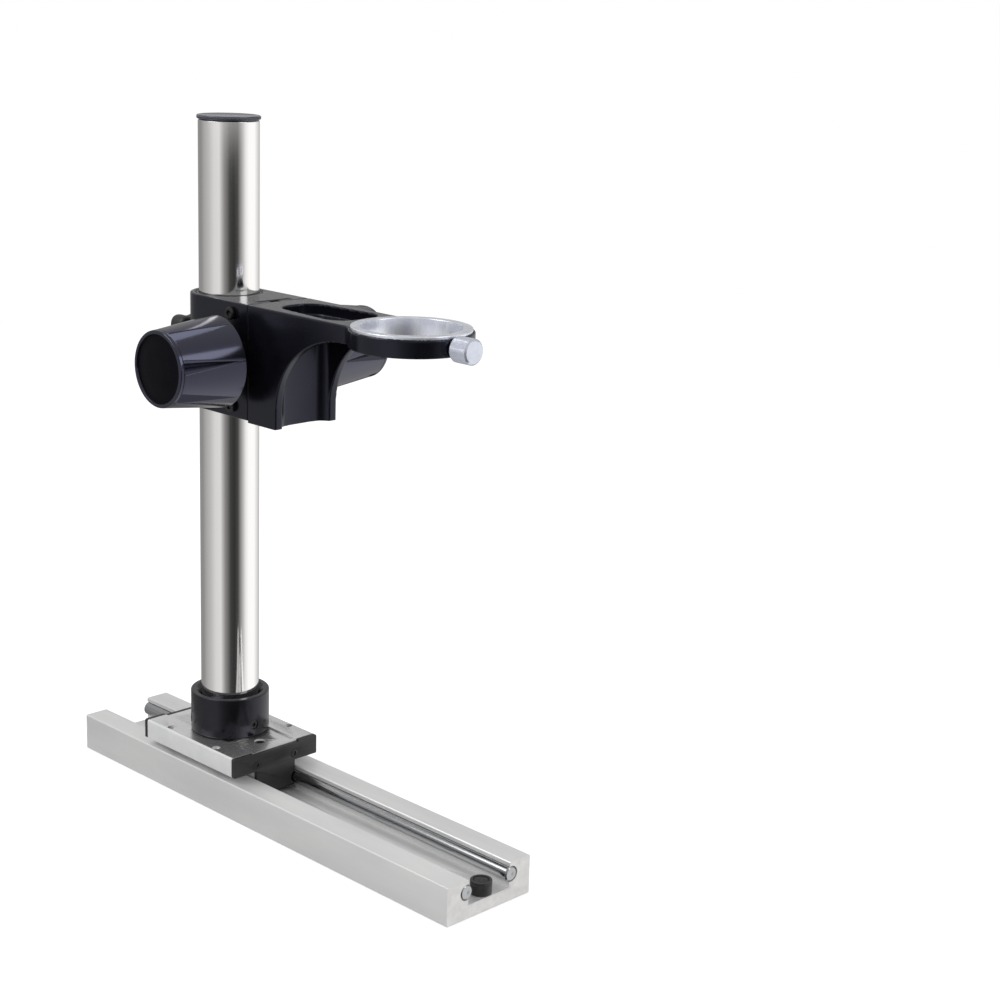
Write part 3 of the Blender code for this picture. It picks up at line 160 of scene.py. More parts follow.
def groundAluminium():
    # The slider's top was ground after milling: it mirrors the black collar softly, clouded by coolant.
    material, tree, shader, place = startMaterial("ground_top_aluminium", 0.9)
    grind = drawnOut(tree, place, (2600, 12, 12), 2)
    cloud = addNode(tree, "ShaderNodeTexNoise", {"Vector": place, "Scale": 26, "Detail": 3}).outputs["Fac"]
    finishSurface(tree, shader, (cloud, "#dedede", "#eeeeee"), (grind, 0.22, 0.3), (grind, 0.00001, 0.1))
    return material


def tappedPaintedShade():
    # Cut threads with light and shade painted into the colour: a painted highlight on the first turn, painted
    # shade down the rest of the hole.
    material, tree, shader, place = startMaterial("tapped_thread_painted_shade", 0.35)
    turns = addNode(tree, "ShaderNodeTexWave", {
        "Vector": place, "Scale": 620}, bands_direction="Z").outputs["Fac"]
    height = addNode(tree, "ShaderNodeSeparateXYZ", {"Vector": place}).outputs["Z"]
    # Painted shade: the colour goes from near white at the hole's mouth to near black deeper down
    shade = addNode(tree, "ShaderNodeMapRange", {
        "Value": height, "From Min": sliderTop - paintedShadeFull, "From Max": sliderTop - paintedShadeStart,
    }).outputs["Result"]
    finishSurface(tree, shader, (shade, "#141415", "#f0f0f2"), (turns, 0.22, 0.4), (turns, 0.00025, 0.7))
    return material


def groundShaft():
    # Hardened and centreless-ground bar steel: near mirror, with faint rings round it.
    material, tree, shader, place = startMaterial(
        "ground_bearing_steel", 1.0, Base_Color=toLinear("#a4a5a7"))
    grind = drawnOut(tree, place, (2600, 40, 40), 3)
    finishSurface(tree, shader, None, (grind, 0.10, 0.24), (grind, 0.00001, 0.3))
    return material


def satinChrome():
    # Hard chrome on a honed tube: bright, slightly warm, with drawn lines up it too fine to count.
    material, tree, shader, place = startMaterial(
        "satin_hard_chrome", 1.0, Base_Color=toLinear("#e8e6e4"))
    honed = drawnOut(tree, place, (2200, 2200, 5), 2)
    finishSurface(tree, shader, None, (honed, 0.06, 0.11), (honed, 0.00001, 0.25))
    return material


def turnedBlack(name, low, high, level, dark, light):
    # Black-anodised turned part: semi-gloss, with the lathe's feed rings about 0.25 mm apart.
    material, tree, shader, place = startMaterial(
        name, Specular_IOR_Level=level, Specular_Tint=toLinear("#dfe0f4"))
    feed = drawnOut(tree, place, (30, 30, 3600), 2)
    cloud = addNode(tree, "ShaderNodeTexNoise", {"Vector": place, "Scale": 160, "Detail": 4}).outputs["Fac"]
    finishSurface(tree, shader, (cloud, dark, light), (feed, low, high), (feed, 0.00002, 0.4))
    return material


def stovedEnamel():
    # Stoved enamel on a sand casting: near black with a blue cast and a soft orange peel 0.8 mm across.
    material, tree, shader, place = startMaterial(
        "stoved_enamel_casting", Specular_IOR_Level=0.42, Specular_Tint=toLinear("#d4d8f6"))
    peel = addNode(tree, "ShaderNodeTexNoise", {
        "Vector": place, "Scale": 1250, "Detail": 2, "Roughness": 0.55})
    grit = addNode(tree, "ShaderNodeTexNoise", {"Vector": place, "Scale": 3400, "Detail": 2}).outputs["Fac"]
    broad = addNode(tree, "ShaderNodeTexNoise", {"Vector": place, "Scale": 70, "Detail": 3}).outputs["Fac"]
    skin = addNode(tree, "ShaderNodeMath", {0: peel.outputs["Fac"], 1: grit}, operation="ADD").outputs[0]
    finishSurface(tree, shader, (broad, "#0a0a0e", "#101117"), (grit, 0.15, 0.26), (skin, 0.00006, 0.35))
    return material


def mouldedPhenolic(name, low, high, level):
    # Moulded phenolic knob: blue-black, polished or matt, with a spark texture finer than 0.4 mm.
    material, tree, shader, place = startMaterial(
        name, Specular_IOR_Level=level, Specular_Tint=toLinear("#cdd0f4"))
    spark = addNode(tree, "ShaderNodeTexNoise", {"Vector": place, "Scale": 2600, "Detail": 3}).outputs["Fac"]
    flow = addNode(tree, "ShaderNodeTexNoise", {"Vector": place, "Scale": 110, "Detail": 3}).outputs["Fac"]
    finishSurface(tree, shader, (flow, "#060609", "#0b0b0f"), (spark, low, high), (spark, 0.00003, 0.3))
    return material


def mouldedAcetal():
    # Matt moulded acetal of the end caps and the clamp knob: charcoal with a fine even grain.
    material, tree, shader, place = startMaterial("moulded_acetal")
    grain = addNode(tree, "ShaderNodeTexVoronoi", {"Vector": place, "Scale": 2400}).outputs["Distance"]
    flow = addNode(tree, "ShaderNodeTexNoise", {"Vector": place, "Scale": 120, "Detail": 3}).outputs["Fac"]
    finishSurface(tree, shader, (flow, "#18181a", "#222224"), (grain, 0.38, 0.52), (grain, 0.00003, 0.3))
    return material


def nitrileRubber():
    # Moulded nitrile buffer: dead matt, a little grey with bloom.
    material, tree, shader, place = startMaterial("nitrile_rubber", Sheen_Weight=0.15)
    bloom = addNode(tree, "ShaderNodeTexNoise", {"Vector": place, "Scale": 420, "Detail": 5}).outputs["Fac"]
    finishSurface(tree, shader, (bloom, "#161616", "#272727"), (bloom, 0.5, 0.72), (bloom, 0.00005, 0.3))
    return material


def faceTurnedAluminium():
    # Face-turned aluminium of the ring insert: blue-white, its feed rings drawn 0.6 mm apart to show.
    material, tree, shader, place = startMaterial("face_turned_aluminium", 0.7)
    centre = addNode(tree, "ShaderNodeMapping", {"Vector": place, "Location": (-ringX, 0, 0)}).outputs[0]
    feed = addNode(tree, "ShaderNodeTexWave", {
        "Vector": centre, "Scale": 520, "Distortion": 0.6, "Detail": 2,
    }, wave_type="RINGS", rings_direction="Z").outputs["Fac"]
    honed = drawnOut(tree, centre, (150, 150, 4), 4)
    finishSurface(tree, shader, (honed, "#d3d6e2", "#eff1f7"), (honed, 0.18, 0.34), (feed, 0.00002, 0.15))
    return material


def knurledAluminium():
    # Bright anodised thumb screw: clean crests on the knurl and a flat face, slightly clouded.
    material, tree, shader, place = startMaterial("knurled_bright_aluminium", 0.7)
    fine = addNode(tree, "ShaderNodeTexNoise", {"Vector": place, "Scale": 260, "Detail": 2}).outputs["Fac"]
    finishSurface(tree, shader, (fine, "#c9cdda", "#d4d8e3"), (fine, 0.2, 0.28), (fine, 0.00001, 0.06))
    return material


def blackenedScrew():
    # Oil-blackened screw steel: dark, with a brown-grey shine.
    material, tree, shader, place = startMaterial("blackened_screw_steel", 0.85)
    scale = addNode(tree, "ShaderNodeTexNoise", {"Vector": place, "Scale": 1500, "Detail": 4}).outputs["Fac"]
    finishSurface(tree, shader, (scale, "#2a2a2c", "#4a4948"), (scale, 0.28, 0.46))
    return material


def wornSteel():
    # Bare screw steel where the blacking has rubbed off an edge: a thin bright line.
    material, tree, shader, place = startMaterial("rubbed_screw_steel", 1.0)
    rub = addNode(tree, "ShaderNodeTexNoise", {"Vector": place, "Scale": 1900, "Detail": 3}).outputs["Fac"]
    finishSurface(tree, shader, (rub, "#9b968c", "#cdc8bc"), (rub, 0.24, 0.42))
    return material


finish = {
    "extrusion": anodisedExtrusion(),
    "sawn": sawnAluminium(),
    "milled": milledAluminium(),
    "ground": groundAluminium(),
    "tapped": tappedPaintedShade(),
    "shaft": groundShaft(),
    "chrome": satinChrome(),
    "collar": turnedBlack("black_anodised_turning", 0.17, 0.26, 0.42, "#0b0b0d", "#131315"),
    # The cap is black anodised like the collar; its much lighter grey is painted sheen, for the sky that its
    # top reflects at a grazing angle
    "cap": turnedBlack("black_anodised_cap_painted_sheen", 0.16, 0.26, 1.0, "#36363c", "#4a4a51"),
    "enamel": stovedEnamel(),
    "phenolic": mouldedPhenolic("moulded_phenolic", 0.12, 0.2, 1.0),
    "knobFace": mouldedPhenolic("matt_phenolic_face", 0.3, 0.42, 0.06),
    "acetal": mouldedAcetal(),
    "rubber": nitrileRubber(),
    "insert": faceTurnedAluminium(),
    "thumb": knurledAluminium(),
    "screw": blackenedScrew(),
    "worn": wornSteel(),
}
print("materials made:", len(finish))


# Mesh helpers

axisTurns = {
    "+Z": Matrix.Identity(4),
    "+X": Matrix.Rotation(pi / 2, 4, "Y"),
    "-X": Matrix.Rotation(-pi / 2, 4, "Y"),
    "+Y": Matrix.Rotation(-pi / 2, 4, "X"),
    "-Y": Matrix.Rotation(pi / 2, 4, "X"),
}


def eased(corners, radius, closed=False, steps=4):
    # Points with each corner rounded; a corner of three numbers brings its own radius.
    points = []
    count = len(corners)
    for index, corner in enumerate(corners):
        here = Vector(corner[:2])
        wanted = corner[2] if len(corner) > 2 else radius
        if wanted == 0 or (not closed and index in (0, count - 1)):
            points.append(tuple(here))
            continue
        back = Vector(corners[index - 1][:2]) - here
        ahead = Vector(corners[(index + 1) % count][:2]) - here
        half = back.angle(ahead) / 2
        if half > pi / 2 - 0.02:      # nearly straight on
            points.append(tuple(here))
            continue
        reach = min(wanted / tan(half), 0.45 * back.length, 0.45 * ahead.length)
        size = reach * tan(half)
        centre = here + (back.normalized() + ahead.normalized()).normalized() * size / sin(half)
        first = here + back.normalized() * reach - centre
        last = here + ahead.normalized() * reach - centre
        start = atan2(first.y, first.x)
        sweep = (atan2(last.y, last.x) - start + pi) % (2 * pi) - pi
        for step in range(steps + 1):
            angle = start + sweep * step / steps
            points.append((centre.x + size * cos(angle), centre.y + size * sin(angle)))
    return points


def arc(centre, radius, start, end, steps):
    angles = [start + (end - start) * k / steps for k in range(steps + 1)]
    return [(centre[0] + radius * cos(angle), centre[1] + radius * sin(angle)) for angle in angles]


def addObject(name, data):
    thing = bpy.data.objects.new(name, data)
    bpy.context.scene.collection.objects.link(thing)
    return thing


def shadeFrom(mesh, angle):
    mesh.shade_smooth()
    mesh.set_sharp_from_angle(angle=radians(angle))


def newPiece(name, bm, material):
    bmesh.ops.recalc_face_normals(bm, faces=bm.faces)
    mesh = bpy.data.meshes.new(name)
    bm.to_mesh(mesh)
    bm.free()
    mesh.materials.append(material)
    shadeFrom(mesh, 32)
    return addObject(name, mesh)


def lathe(name, profile, centre, material, axis="+Z", steps=128):
    # Turns (radius, height) points about an axis through centre; off the axis, the profile is a loop.
    bm = bmesh.new()
    circle = [(cos(2 * pi * k / steps), sin(2 * pi * k / steps)) for k in range(steps)]
    rings = []
    for radius, height in profile:
        if radius < 1e-6:
            rings.append([bm.verts.new((0, 0, height))])
        else:
            rings.append([bm.verts.new((radius * x, radius * y, height)) for x, y in circle])
    pairs = list(zip(rings, rings[1:]))
    if profile[0][0] > 1e-6:
        pairs.append((rings[-1], rings[0]))
    for upper, lower in pairs:
        for k in range(steps):
            n = (k + 1) % steps
            corners = [upper[k % len(upper)], upper[n % len(upper)]]
            corners += [lower[n % len(lower)], lower[k % len(lower)]]
            corners = list(dict.fromkeys(corners))
            if len(corners) > 2:
                bm.faces.new(corners)
    bmesh.ops.transform(bm, matrix=Matrix.Translation(centre) @ axisTurns[axis], verts=bm.verts)
    return newPiece(name, bm, material)


def rod(name, radius, low, high, centre, material, axis, steps):
    return lathe(name, [(0, high), (radius, high), (radius, low), (0, low)], centre, material, axis, steps)


def prism(name, outline, low, high, material, plane="XY", soft=None):
    # A straight-walled body on an outline; soft gives a bevel weight to an outline edge by its middle.
    bm = bmesh.new()
    order = {"XY": (0, 1, 2), "XZ": (0, 2, 1), "YZ": (1, 2, 0)}[plane]
    weight = bm.edges.layers.float.new("bevel_weight_edge")

    def at(a, b, c):
        place = [0, 0, 0]
        for axis, value in zip(order, (a, b, c)):
            place[axis] = value
        return bm.verts.new(place)

    lower = [at(a, b, low) for a, b in outline]
    upper = [at(a, b, high) for a, b in outline]
    bm.faces.new(lower)
    bm.faces.new(upper)
    for k in range(len(outline)):
        n = (k + 1) % len(outline)
        bm.faces.new((lower[k], lower[n], upper[n], upper[k]))
        middle = ((outline[k][0] + outline[n][0]) / 2, (outline[k][1] + outline[n][1]) / 2)
        for pair in ((lower[k], lower[n]), (upper[k], upper[n])):
            bm.edges.get(pair)[weight] = soft(*middle) if soft else 1.0
    return newPiece(name, bm, material)


def addBevel(piece, width, segments=3, method="ANGLE", angle=40, harden=False):
    bevel = piece.modifiers.new("edges", "BEVEL")
    bevel.width = width
    bevel.segments = segments
    bevel.limit_method = method
    bevel.angle_limit = radians(angle)
    bevel.harden_normals = harden
    return bevel


def bake(piece, sharp=None):
    # The evaluated mesh takes the place of the modifiers.
    bpy.context.view_layer.update()
    graph = bpy.context.evaluated_depsgraph_get()
    mesh = bpy.data.meshes.new_from_object(piece.evaluated_get(graph), depsgraph=graph)
    piece.modifiers.clear()
    piece.data = mesh
    if sharp is not None:
        shadeFrom(mesh, sharp)
    return piece


def combine(piece, tools, operation):
    for tool in tools:
        step = piece.modifiers.new(tool.name, "BOOLEAN")
        step.operation = operation
        step.solver = "EXACT"
        step.object = tool
    bake(piece)
    for tool in tools:
        bpy.data.objects.remove(tool)


def castSkin(piece, voxel, rounds):
    # Rounds every edge and fills every corner a little, as a casting and its paint do.
    remesh = piece.modifiers.new("skin", "REMESH")
    remesh.mode = "VOXEL"
    remesh.voxel_size = voxel * 1
    remesh.use_smooth_shade = True
    relax = piece.modifiers.new("relax", "SMOOTH")
    relax.factor = 0.5
    relax.iterations = rounds
    material = piece.data.materials[0]
    bake(piece)
    piece.data.materials.clear()
    piece.data.materials.append(material)
    piece.data.shade_smooth()


def softCopy(name, node, material, width=softEdge, sharp=30):
    # A welded copy of a solid with fine rounded edges in place of knife edges.
    bm = bmesh.new()
    bm.from_mesh(cadNodes[node].data)
    bmesh.ops.remove_doubles(bm, verts=bm.verts, dist=0.000004)
    bmesh.ops.dissolve_limit(bm, angle_limit=radians(1), verts=bm.verts, edges=bm.edges)
    piece = newPiece(name, bm, material)
    addBevel(piece, width, 2, angle=sharp, harden=True)
    return bake(piece, sharp)


def settle(piece, body, slot, *nodes):
    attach(piece, body)
    if nodes:
        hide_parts(*nodes)


# Geometry Nodes: how every tree starts, ends, and is put on a piece

def startTree(name, inputs):
    tree = bpy.data.node_groups.new(name, "GeometryNodeTree")
    sockets = {"Geometry": "Geometry", **inputs, "Material": "Material"}
    for label, kind in sockets.items():
        tree.interface.new_socket(label, in_out="INPUT", socket_type=f"NodeSocket{kind}")
    tree.interface.new_socket("Geometry", in_out="OUTPUT", socket_type="NodeSocketGeometry")
    return tree, addNode(tree, "NodeGroupInput").outputs


def endTree(tree, geometry, material):
    real = addNode(tree, "GeometryNodeRealizeInstances", {"Geometry": geometry})
    dressed = addNode(tree, "GeometryNodeSetMaterial", {
        "Geometry": real.outputs["Geometry"], "Material": material})
    addNode(tree, "NodeGroupOutput", {"Geometry": dressed.outputs["Geometry"]})
    return tree


def scatterFacing(tree, points, shape):
    # One copy of the shape on each point, turned the way that the point's facing says.
    facing = addNode(tree, "GeometryNodeInputNamedAttribute", {"Name": "facing"}, data_type="FLOAT_VECTOR")
    turn = addNode(tree, "FunctionNodeAlignRotationToVector", {
        "Vector": facing.outputs["Attribute"]}, axis="Z")
    spread = addNode(tree, "GeometryNodeInstanceOnPoints", {
        "Points": points, "Instance": shape, "Rotation": turn.outputs["Rotation"]})
    return spread.outputs["Instances"]


def facingPoints(name, places):
    # A mesh of lone points, each with the way that it faces.
    mesh = bpy.data.meshes.new(name)
    mesh.from_pydata([point for point, way in places], [], [])
    layer = mesh.attributes.new("facing", "FLOAT_VECTOR", "POINT")
    for item, (point, way) in zip(layer.data, places):
        item.vector = way
    return addObject(name, mesh)


def grow(piece, tree, values, sharp=None):
    # Puts the tree on the piece, sets its named inputs, and keeps the result as a plain mesh.
    step = piece.modifiers.new(tree.name, "NODES")
    step.node_group = tree
    for item in tree.interface.items_tree:
        if item.in_out == "INPUT" and item.name in values:
            step[item.identifier] = values[item.name]
    return bake(piece, sharp)


# Rail, shafts and end stops

railPiece = {"edge": 0.00025, "endDepth": 0.0001, "sharp": 28}


def makeRail():
    rail = softCopy("rail", "rail_extrusion", finish["extrusion"], railPiece["edge"], railPiece["sharp"])
    rail.data.materials.append(finish["sawn"])
    low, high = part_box("rail_extrusion")
    for face in rail.data.polygons:
        fromEnd = min(face.center.x - low.x, high.x - face.center.x)
        if abs(face.normal.x) > 0.9 and fromEnd < railPiece["endDepth"]:
            face.material_index = 1
    settle(rail, "rail", "satin_aluminium", "rail_extrusion")


shaftPiece = {"chamfer": 0.0007, "centreDrill": 0.0006, "steps": 64}


def makeShafts():
    for side in ("left", "right"):
        low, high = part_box(f"guide_shaft_{side}")
        radius = (high.z - low.z) / 2
        half = (high.x - low.x) / 2
        cut = shaftPiece["chamfer"]
        profile = [(0, half - cut / 2), (shaftPiece["centreDrill"], half)]
        profile += eased([(0, half), (radius - cut, half), (radius, half - cut), (radius, 0)], crispEdge)[1:]
        profile += [(r, -h) for r, h in reversed(profile[:-1])]
        shaft = lathe(f"shaft_{side}", profile, (low + high) / 2, finish["shaft"], "+X", shaftPiece["steps"])
        settle(shaft, "rail", "ground_steel", f"guide_shaft_{side}")


stopPiece = {"lip": 0.0009, "groove": 0.0004, "plugInset": 0.0003, "plugGap": 0.0003}


def makeStops():
    for end in ("near", "far"):
        low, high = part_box(f"end_stop_{end}")
        plugLow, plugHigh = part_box(f"end_stop_screw_{end}")
        radius = (high.x - low.x) / 2
        top = high.z - low.z
        lip = stopPiece["lip"]
        plug = (plugHigh.x - plugLow.x) / 2
        hole = plug + stopPiece["plugGap"]
        profile = eased([
            (hole, top - 2 * lip), (hole, top), (radius, top), (radius, top - 1.3 * lip),
            (radius - stopPiece["groove"], top - 1.6 * lip), (radius, top - 1.9 * lip),
            (radius, 0), (hole, 0),
        ], softEdge, closed=True)
        place = Vector(((low.x + high.x) / 2, 0, low.z))
        sleeve = lathe(f"stop_sleeve_{end}", profile, place, finish["rubber"], steps=72)
        settle(sleeve, "rail", "black_rubber", f"end_stop_{end}")
        inset = top - stopPiece["plugInset"]
        face = eased([(0, inset), (plug, inset), (plug, 0), (0, 0)], softEdge)
        screw = lathe(f"stop_plug_{end}", face, place, finish["screw"], steps=64)
        settle(screw, "rail", "black_oxide", f"end_stop_screw_{end}")


makeRail()
makeShafts()
makeStops()
print("rail, shafts and stops made")


# Slider, end caps and rollers

sliderPiece = {
    "edge": 0.00035, "capEdge": 0.0003, "wheelEdge": 0.0002, "sharp": 26,
    "holeInset": 0.003, "holeLip": 0.0012, "recessLimit": 0.0011,
}


def makeSlider():
    p = sliderPiece
    plate = softCopy("slider_plate", "slider_block", finish["milled"], p["edge"], p["sharp"])
    plate.data.materials.append(finish["ground"])
    plate.data.materials.append(finish["tapped"])
    low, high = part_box("slider_block")
    inset = p["holeInset"]
    for face in plate.data.polygons:
        spot, up = face.center, face.normal.z
        depth = high.z - spot.z
        inside = min(spot.x - low.x, high.x - spot.x, spot.y - low.y, high.y - spot.y) > inset
        if up > 0.99 and depth < p["recessLimit"]:
            face.material_index = 1
        # Walls and floors of the holes take the tapped finish, whose colour holds painted shade and a painted
        # highlight
        elif inside and spot.z > low.z + inset and depth > p["holeLip"] and (abs(up) < 0.3 or up > 0.9):
            face.material_index = 2
    settle(plate, "slider", "satin_aluminium", "slider_block")
    for end in ("near", "far"):
        cap = softCopy(f"slider_cap_{end}", f"end_cap_{end}", finish["acetal"], p["capEdge"], p["sharp"])
        settle(cap, "slider", "black_plastic", f"end_cap_{end}")
    for number, body in enumerate(("roller_one", "roller_two", "roller_three", "roller_four"), 1):
        wheel = softCopy(f"wheel_{number}", f"roller_{number}", finish["shaft"], p["wheelEdge"])
        settle(wheel, body, "ground_steel", f"roller_{number}")


makeSlider()
print("slider made")


# Screws, one tree for every socket head

screwPiece = {
    "sides": 48, "socketShare": 0.52, "socketDepth": 0.0014, "deepest": 0.6,
    "cap": {"height": 0.0016, "edge": 0.0003},
    "side": {"height": 0.0019, "edge": 0.0004},
    "set": {"height": 0.0035, "edge": 0.00015, "radius": 0.0025, "sink": 0.0005, "angles": (0, 120, 240)},
}


def screwTree():
    tree, given = startTree("socket_heads", {
        "Head Radius": "Float", "Head Height": "Float", "Socket Radius": "Float", "Socket Depth": "Float"})
    drop = addNode(tree, "ShaderNodeMath", {0: given["Head Height"], 1: -0.5}, operation="MULTIPLY")
    down = addNode(tree, "ShaderNodeCombineXYZ", {"Z": drop.outputs[0]})
    head = addNode(tree, "GeometryNodeMeshCylinder", {
        "Vertices": screwPiece["sides"], "Radius": given["Head Radius"], "Depth": given["Head Height"]})
    sunk = addNode(tree, "GeometryNodeTransform", {
        "Geometry": head.outputs["Mesh"], "Translation": down.outputs[0]})
    twice = addNode(tree, "ShaderNodeMath", {0: given["Socket Depth"], 1: 2.0}, operation="MULTIPLY")
    key = addNode(tree, "GeometryNodeMeshCylinder", {
        "Vertices": 6, "Radius": given["Socket Radius"], "Depth": twice.outputs[0]})
    cut = addNode(tree, "GeometryNodeMeshBoolean", {
        "Mesh 1": sunk.outputs["Geometry"], "Mesh 2": key.outputs["Mesh"]}, operation="DIFFERENCE")
    return endTree(tree, scatterFacing(tree, given["Geometry"], cut.outputs["Mesh"]), given["Material"])


socketHeads = screwTree()


def makeScrews(name, places, radius, size, body, nodes, rim):
    # One head on each (point, facing) pair; the point is the middle of the head's outer face.
    height = size["height"]
    heads = grow(facingPoints(name, places), socketHeads, {
        "Head Radius": radius, "Head Height": height, "Socket Radius": radius * screwPiece["socketShare"],
        "Socket Depth": min(screwPiece["socketDepth"], screwPiece["deepest"] * height),
        "Material": finish["screw"]})
    heads.data.materials.append(finish[rim])
    addBevel(heads, size["edge"], 2).material = 1
    bake(heads, 30)
    settle(heads, body, "black_oxide", *nodes)


def makeFaceScrews(name, nodes, axis, way, size, body):
    # Heads flush with the outer end of their solids, which lie along one axis; their rims are rubbed bare.
    places = []
    for node in nodes:
        low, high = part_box(node)
        point = [(a + b) / 2 for a, b in zip(low, high)]
        point[axis] = high[axis] if way > 0 else low[axis]
        facing = [0, 0, 0]
        facing[axis] = way
        places.append((point, facing))
    makeScrews(name, places, (high.z - low.z) / 2, size, body, nodes, "worn")


def makeSetScrews():
    size = screwPiece["set"]
    nodes = ["collar_set_screw_1", "collar_set_screw_2", "collar_set_screw_3"]
    places = []
    for node, angle in zip(nodes, size["angles"]):
        low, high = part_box(node)
        way = Vector((cos(radians(angle)), sin(radians(angle)), 0))
        middle = Vector((columnX, 0, (low.z + high.z) / 2))
        places.append((middle + (collarRadius - size["sink"]) * way, way))
    makeScrews("collar_set_screws", places, size["radius"], size, "slider", nodes, "collar")


for end, way in (("near", 1), ("far", -1)):
    capNodes = [f"end_cap_screw_{end}_left", f"end_cap_screw_{end}_right"]
    makeFaceScrews(f"cap_screws_{end}", capNodes, 0, way, screwPiece["cap"], "slider")
for side, way in (("left", -1), ("right", 1)):
    sideNodes = [f"side_screw_{side}_top", f"side_screw_{side}_bottom"]
    makeFaceScrews(f"block_screws_{side}", sideNodes, 1, way, screwPiece["side"], "height_block")
makeSetScrews()
print("screw heads made")


# Collar, column and cap

collarPiece = {"bore": 0.0163, "sink": 0.0024, "foot": 0.0012, "topEdge": 0.0005, "setHole": 0.0026}


def makeCollar():
    p = collarPiece
    height = collarHigh.z - collarLow.z
    bore, sink = p["bore"], p["sink"]
    profile = eased([
        (bore + sink, height, crispEdge), (collarRadius, height, p["topEdge"]), (collarRadius, 0, p["foot"]),
        (bore, 0), (bore, height - sink),
    ], softEdge, closed=True)
    collar = lathe("collar", profile, (columnX, 0, collarLow.z), finish["collar"], steps=192)
    screwLow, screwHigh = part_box("collar_set_screw_1")
    place = Matrix.Translation((columnX, 0, (screwLow.z + screwHigh.z) / 2))
    holes = []
    for angle in screwPiece["set"]["angles"]:
        hole = rod("hole", p["setHole"], 0.014, 0.03, (0, 0, 0), finish["collar"], "+X", 40)
        hole.data.transform(place @ Matrix.Rotation(radians(angle), 4, "Z"))
        holes.append(hole)
    combine(collar, holes, "DIFFERENCE")
    bake(collar, 32)
    settle(collar, "slider", "black_anodised", "column_collar")


columnPiece = {"wall": 0.003, "chamfer": 0.0005}


def makeColumn():
    radius = (tubeHigh.x - tubeLow.x) / 2
    height = tubeHigh.z - tubeLow.z
    cut = columnPiece["chamfer"]
    inner = radius - columnPiece["wall"]
    profile = eased([(inner, height, 0), (radius - cut, height), (radius, height - cut),
                     (radius, cut), (radius - cut, 0), (inner, 0, 0)], crispEdge, closed=True)
    tube = lathe("column", profile, (columnX, 0, tubeLow.z), finish["chrome"], steps=256)
    settle(tube, "slider", "chrome", "column_tube")


capPiece = {
    "ridges": 126, "ridgeDepth": 0.0002, "ridgeRadius": 0.0003, "ridgeSink": 0.0001, "edge": 0.0004,
    "lift": 0.0003, "dish": 0.0002, "dishSlope": 0.0006, "rimWidth": 0.0022, "plugStep": 0.0042,
    "plugDepth": 0.008, "steps": 168,
}


def knurlTree():
    # Straight knurl: one rounded ridge on each point of a circle.
    tree, given = startTree("straight_knurl", {
        "Ridges": "Int", "Radius": "Float", "Height": "Float", "Ridge Radius": "Float", "Centre": "Vector"})
    ring = addNode(tree, "GeometryNodeMeshCircle", {"Vertices": given["Ridges"], "Radius": given["Radius"]})
    ridge = addNode(tree, "GeometryNodeMeshCylinder", {
        "Vertices": 8, "Radius": given["Ridge Radius"], "Depth": given["Height"]})
    smooth = addNode(tree, "GeometryNodeSetShadeSmooth", {"Geometry": ridge.outputs["Mesh"]})
    spread = addNode(tree, "GeometryNodeInstanceOnPoints", {
        "Points": ring.outputs["Mesh"], "Instance": smooth.outputs["Geometry"]})
    placed = addNode(tree, "GeometryNodeTransform", {
        "Geometry": spread.outputs["Instances"], "Translation": given["Centre"]})
    both = addNode(tree, "GeometryNodeJoinGeometry")
    tree.links.new(placed.outputs["Geometry"], both.inputs["Geometry"])
    tree.links.new(given["Geometry"], both.inputs["Geometry"])
    return endTree(tree, both.outputs["Geometry"], given["Material"])


def makeCap():
    p = capPiece
    low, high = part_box("column_cap")
    rim = (high.x - low.x) / 2
    seat = tubeHigh.z + p["lift"]
    top = high.z - seat
    plug = rim - p["plugStep"]
    body = rim - p["ridgeDepth"]
    flat = rim - p["rimWidth"]
    profile = [(0, top - p["dish"]), (flat - p["dishSlope"], top - p["dish"])]
    profile += eased([(0, top), (flat, top, crispEdge), (body, top, p["edge"]), (body, 0, crispEdge),
                      (plug, 0, 0), (plug, -p["plugDepth"]), (0, -p["plugDepth"])], softEdge)[1:]
    cap = lathe("cap", profile, (columnX, 0, seat), finish["cap"], steps=p["steps"])
    grow(cap, knurlTree(), {
        "Ridges": p["ridges"], "Radius": body - p["ridgeSink"], "Ridge Radius": p["ridgeRadius"],
        "Height": top - 2 * p["edge"], "Centre": (columnX, 0, seat + top / 2), "Material": finish["cap"]})
    settle(cap, "slider", "black_plastic", "column_cap")


makeCollar()
makeColumn()
makeCap()
print("collar and column made")


# Height block

blockPiece = {
    "radius": 0.0205, "bore": 0.0176, "sink": 0.0004, "bossRadius": 0.0085, "bossStart": 0.0185,
    "bossReach": 0.0262, "clampRise": 0.001, "studHole": 0.0043, "driveBore": 0.0063,
    "grooveDepth": 0.0055, "grooveRear": 0.0118, "grooveFront": 0.0076, "grooveOver": 0.002,
    "voxel": 0.00055, "relax": 5, "bushEdge": 0.0002,
}
clampZ = blockMiddle + blockPiece["clampRise"]


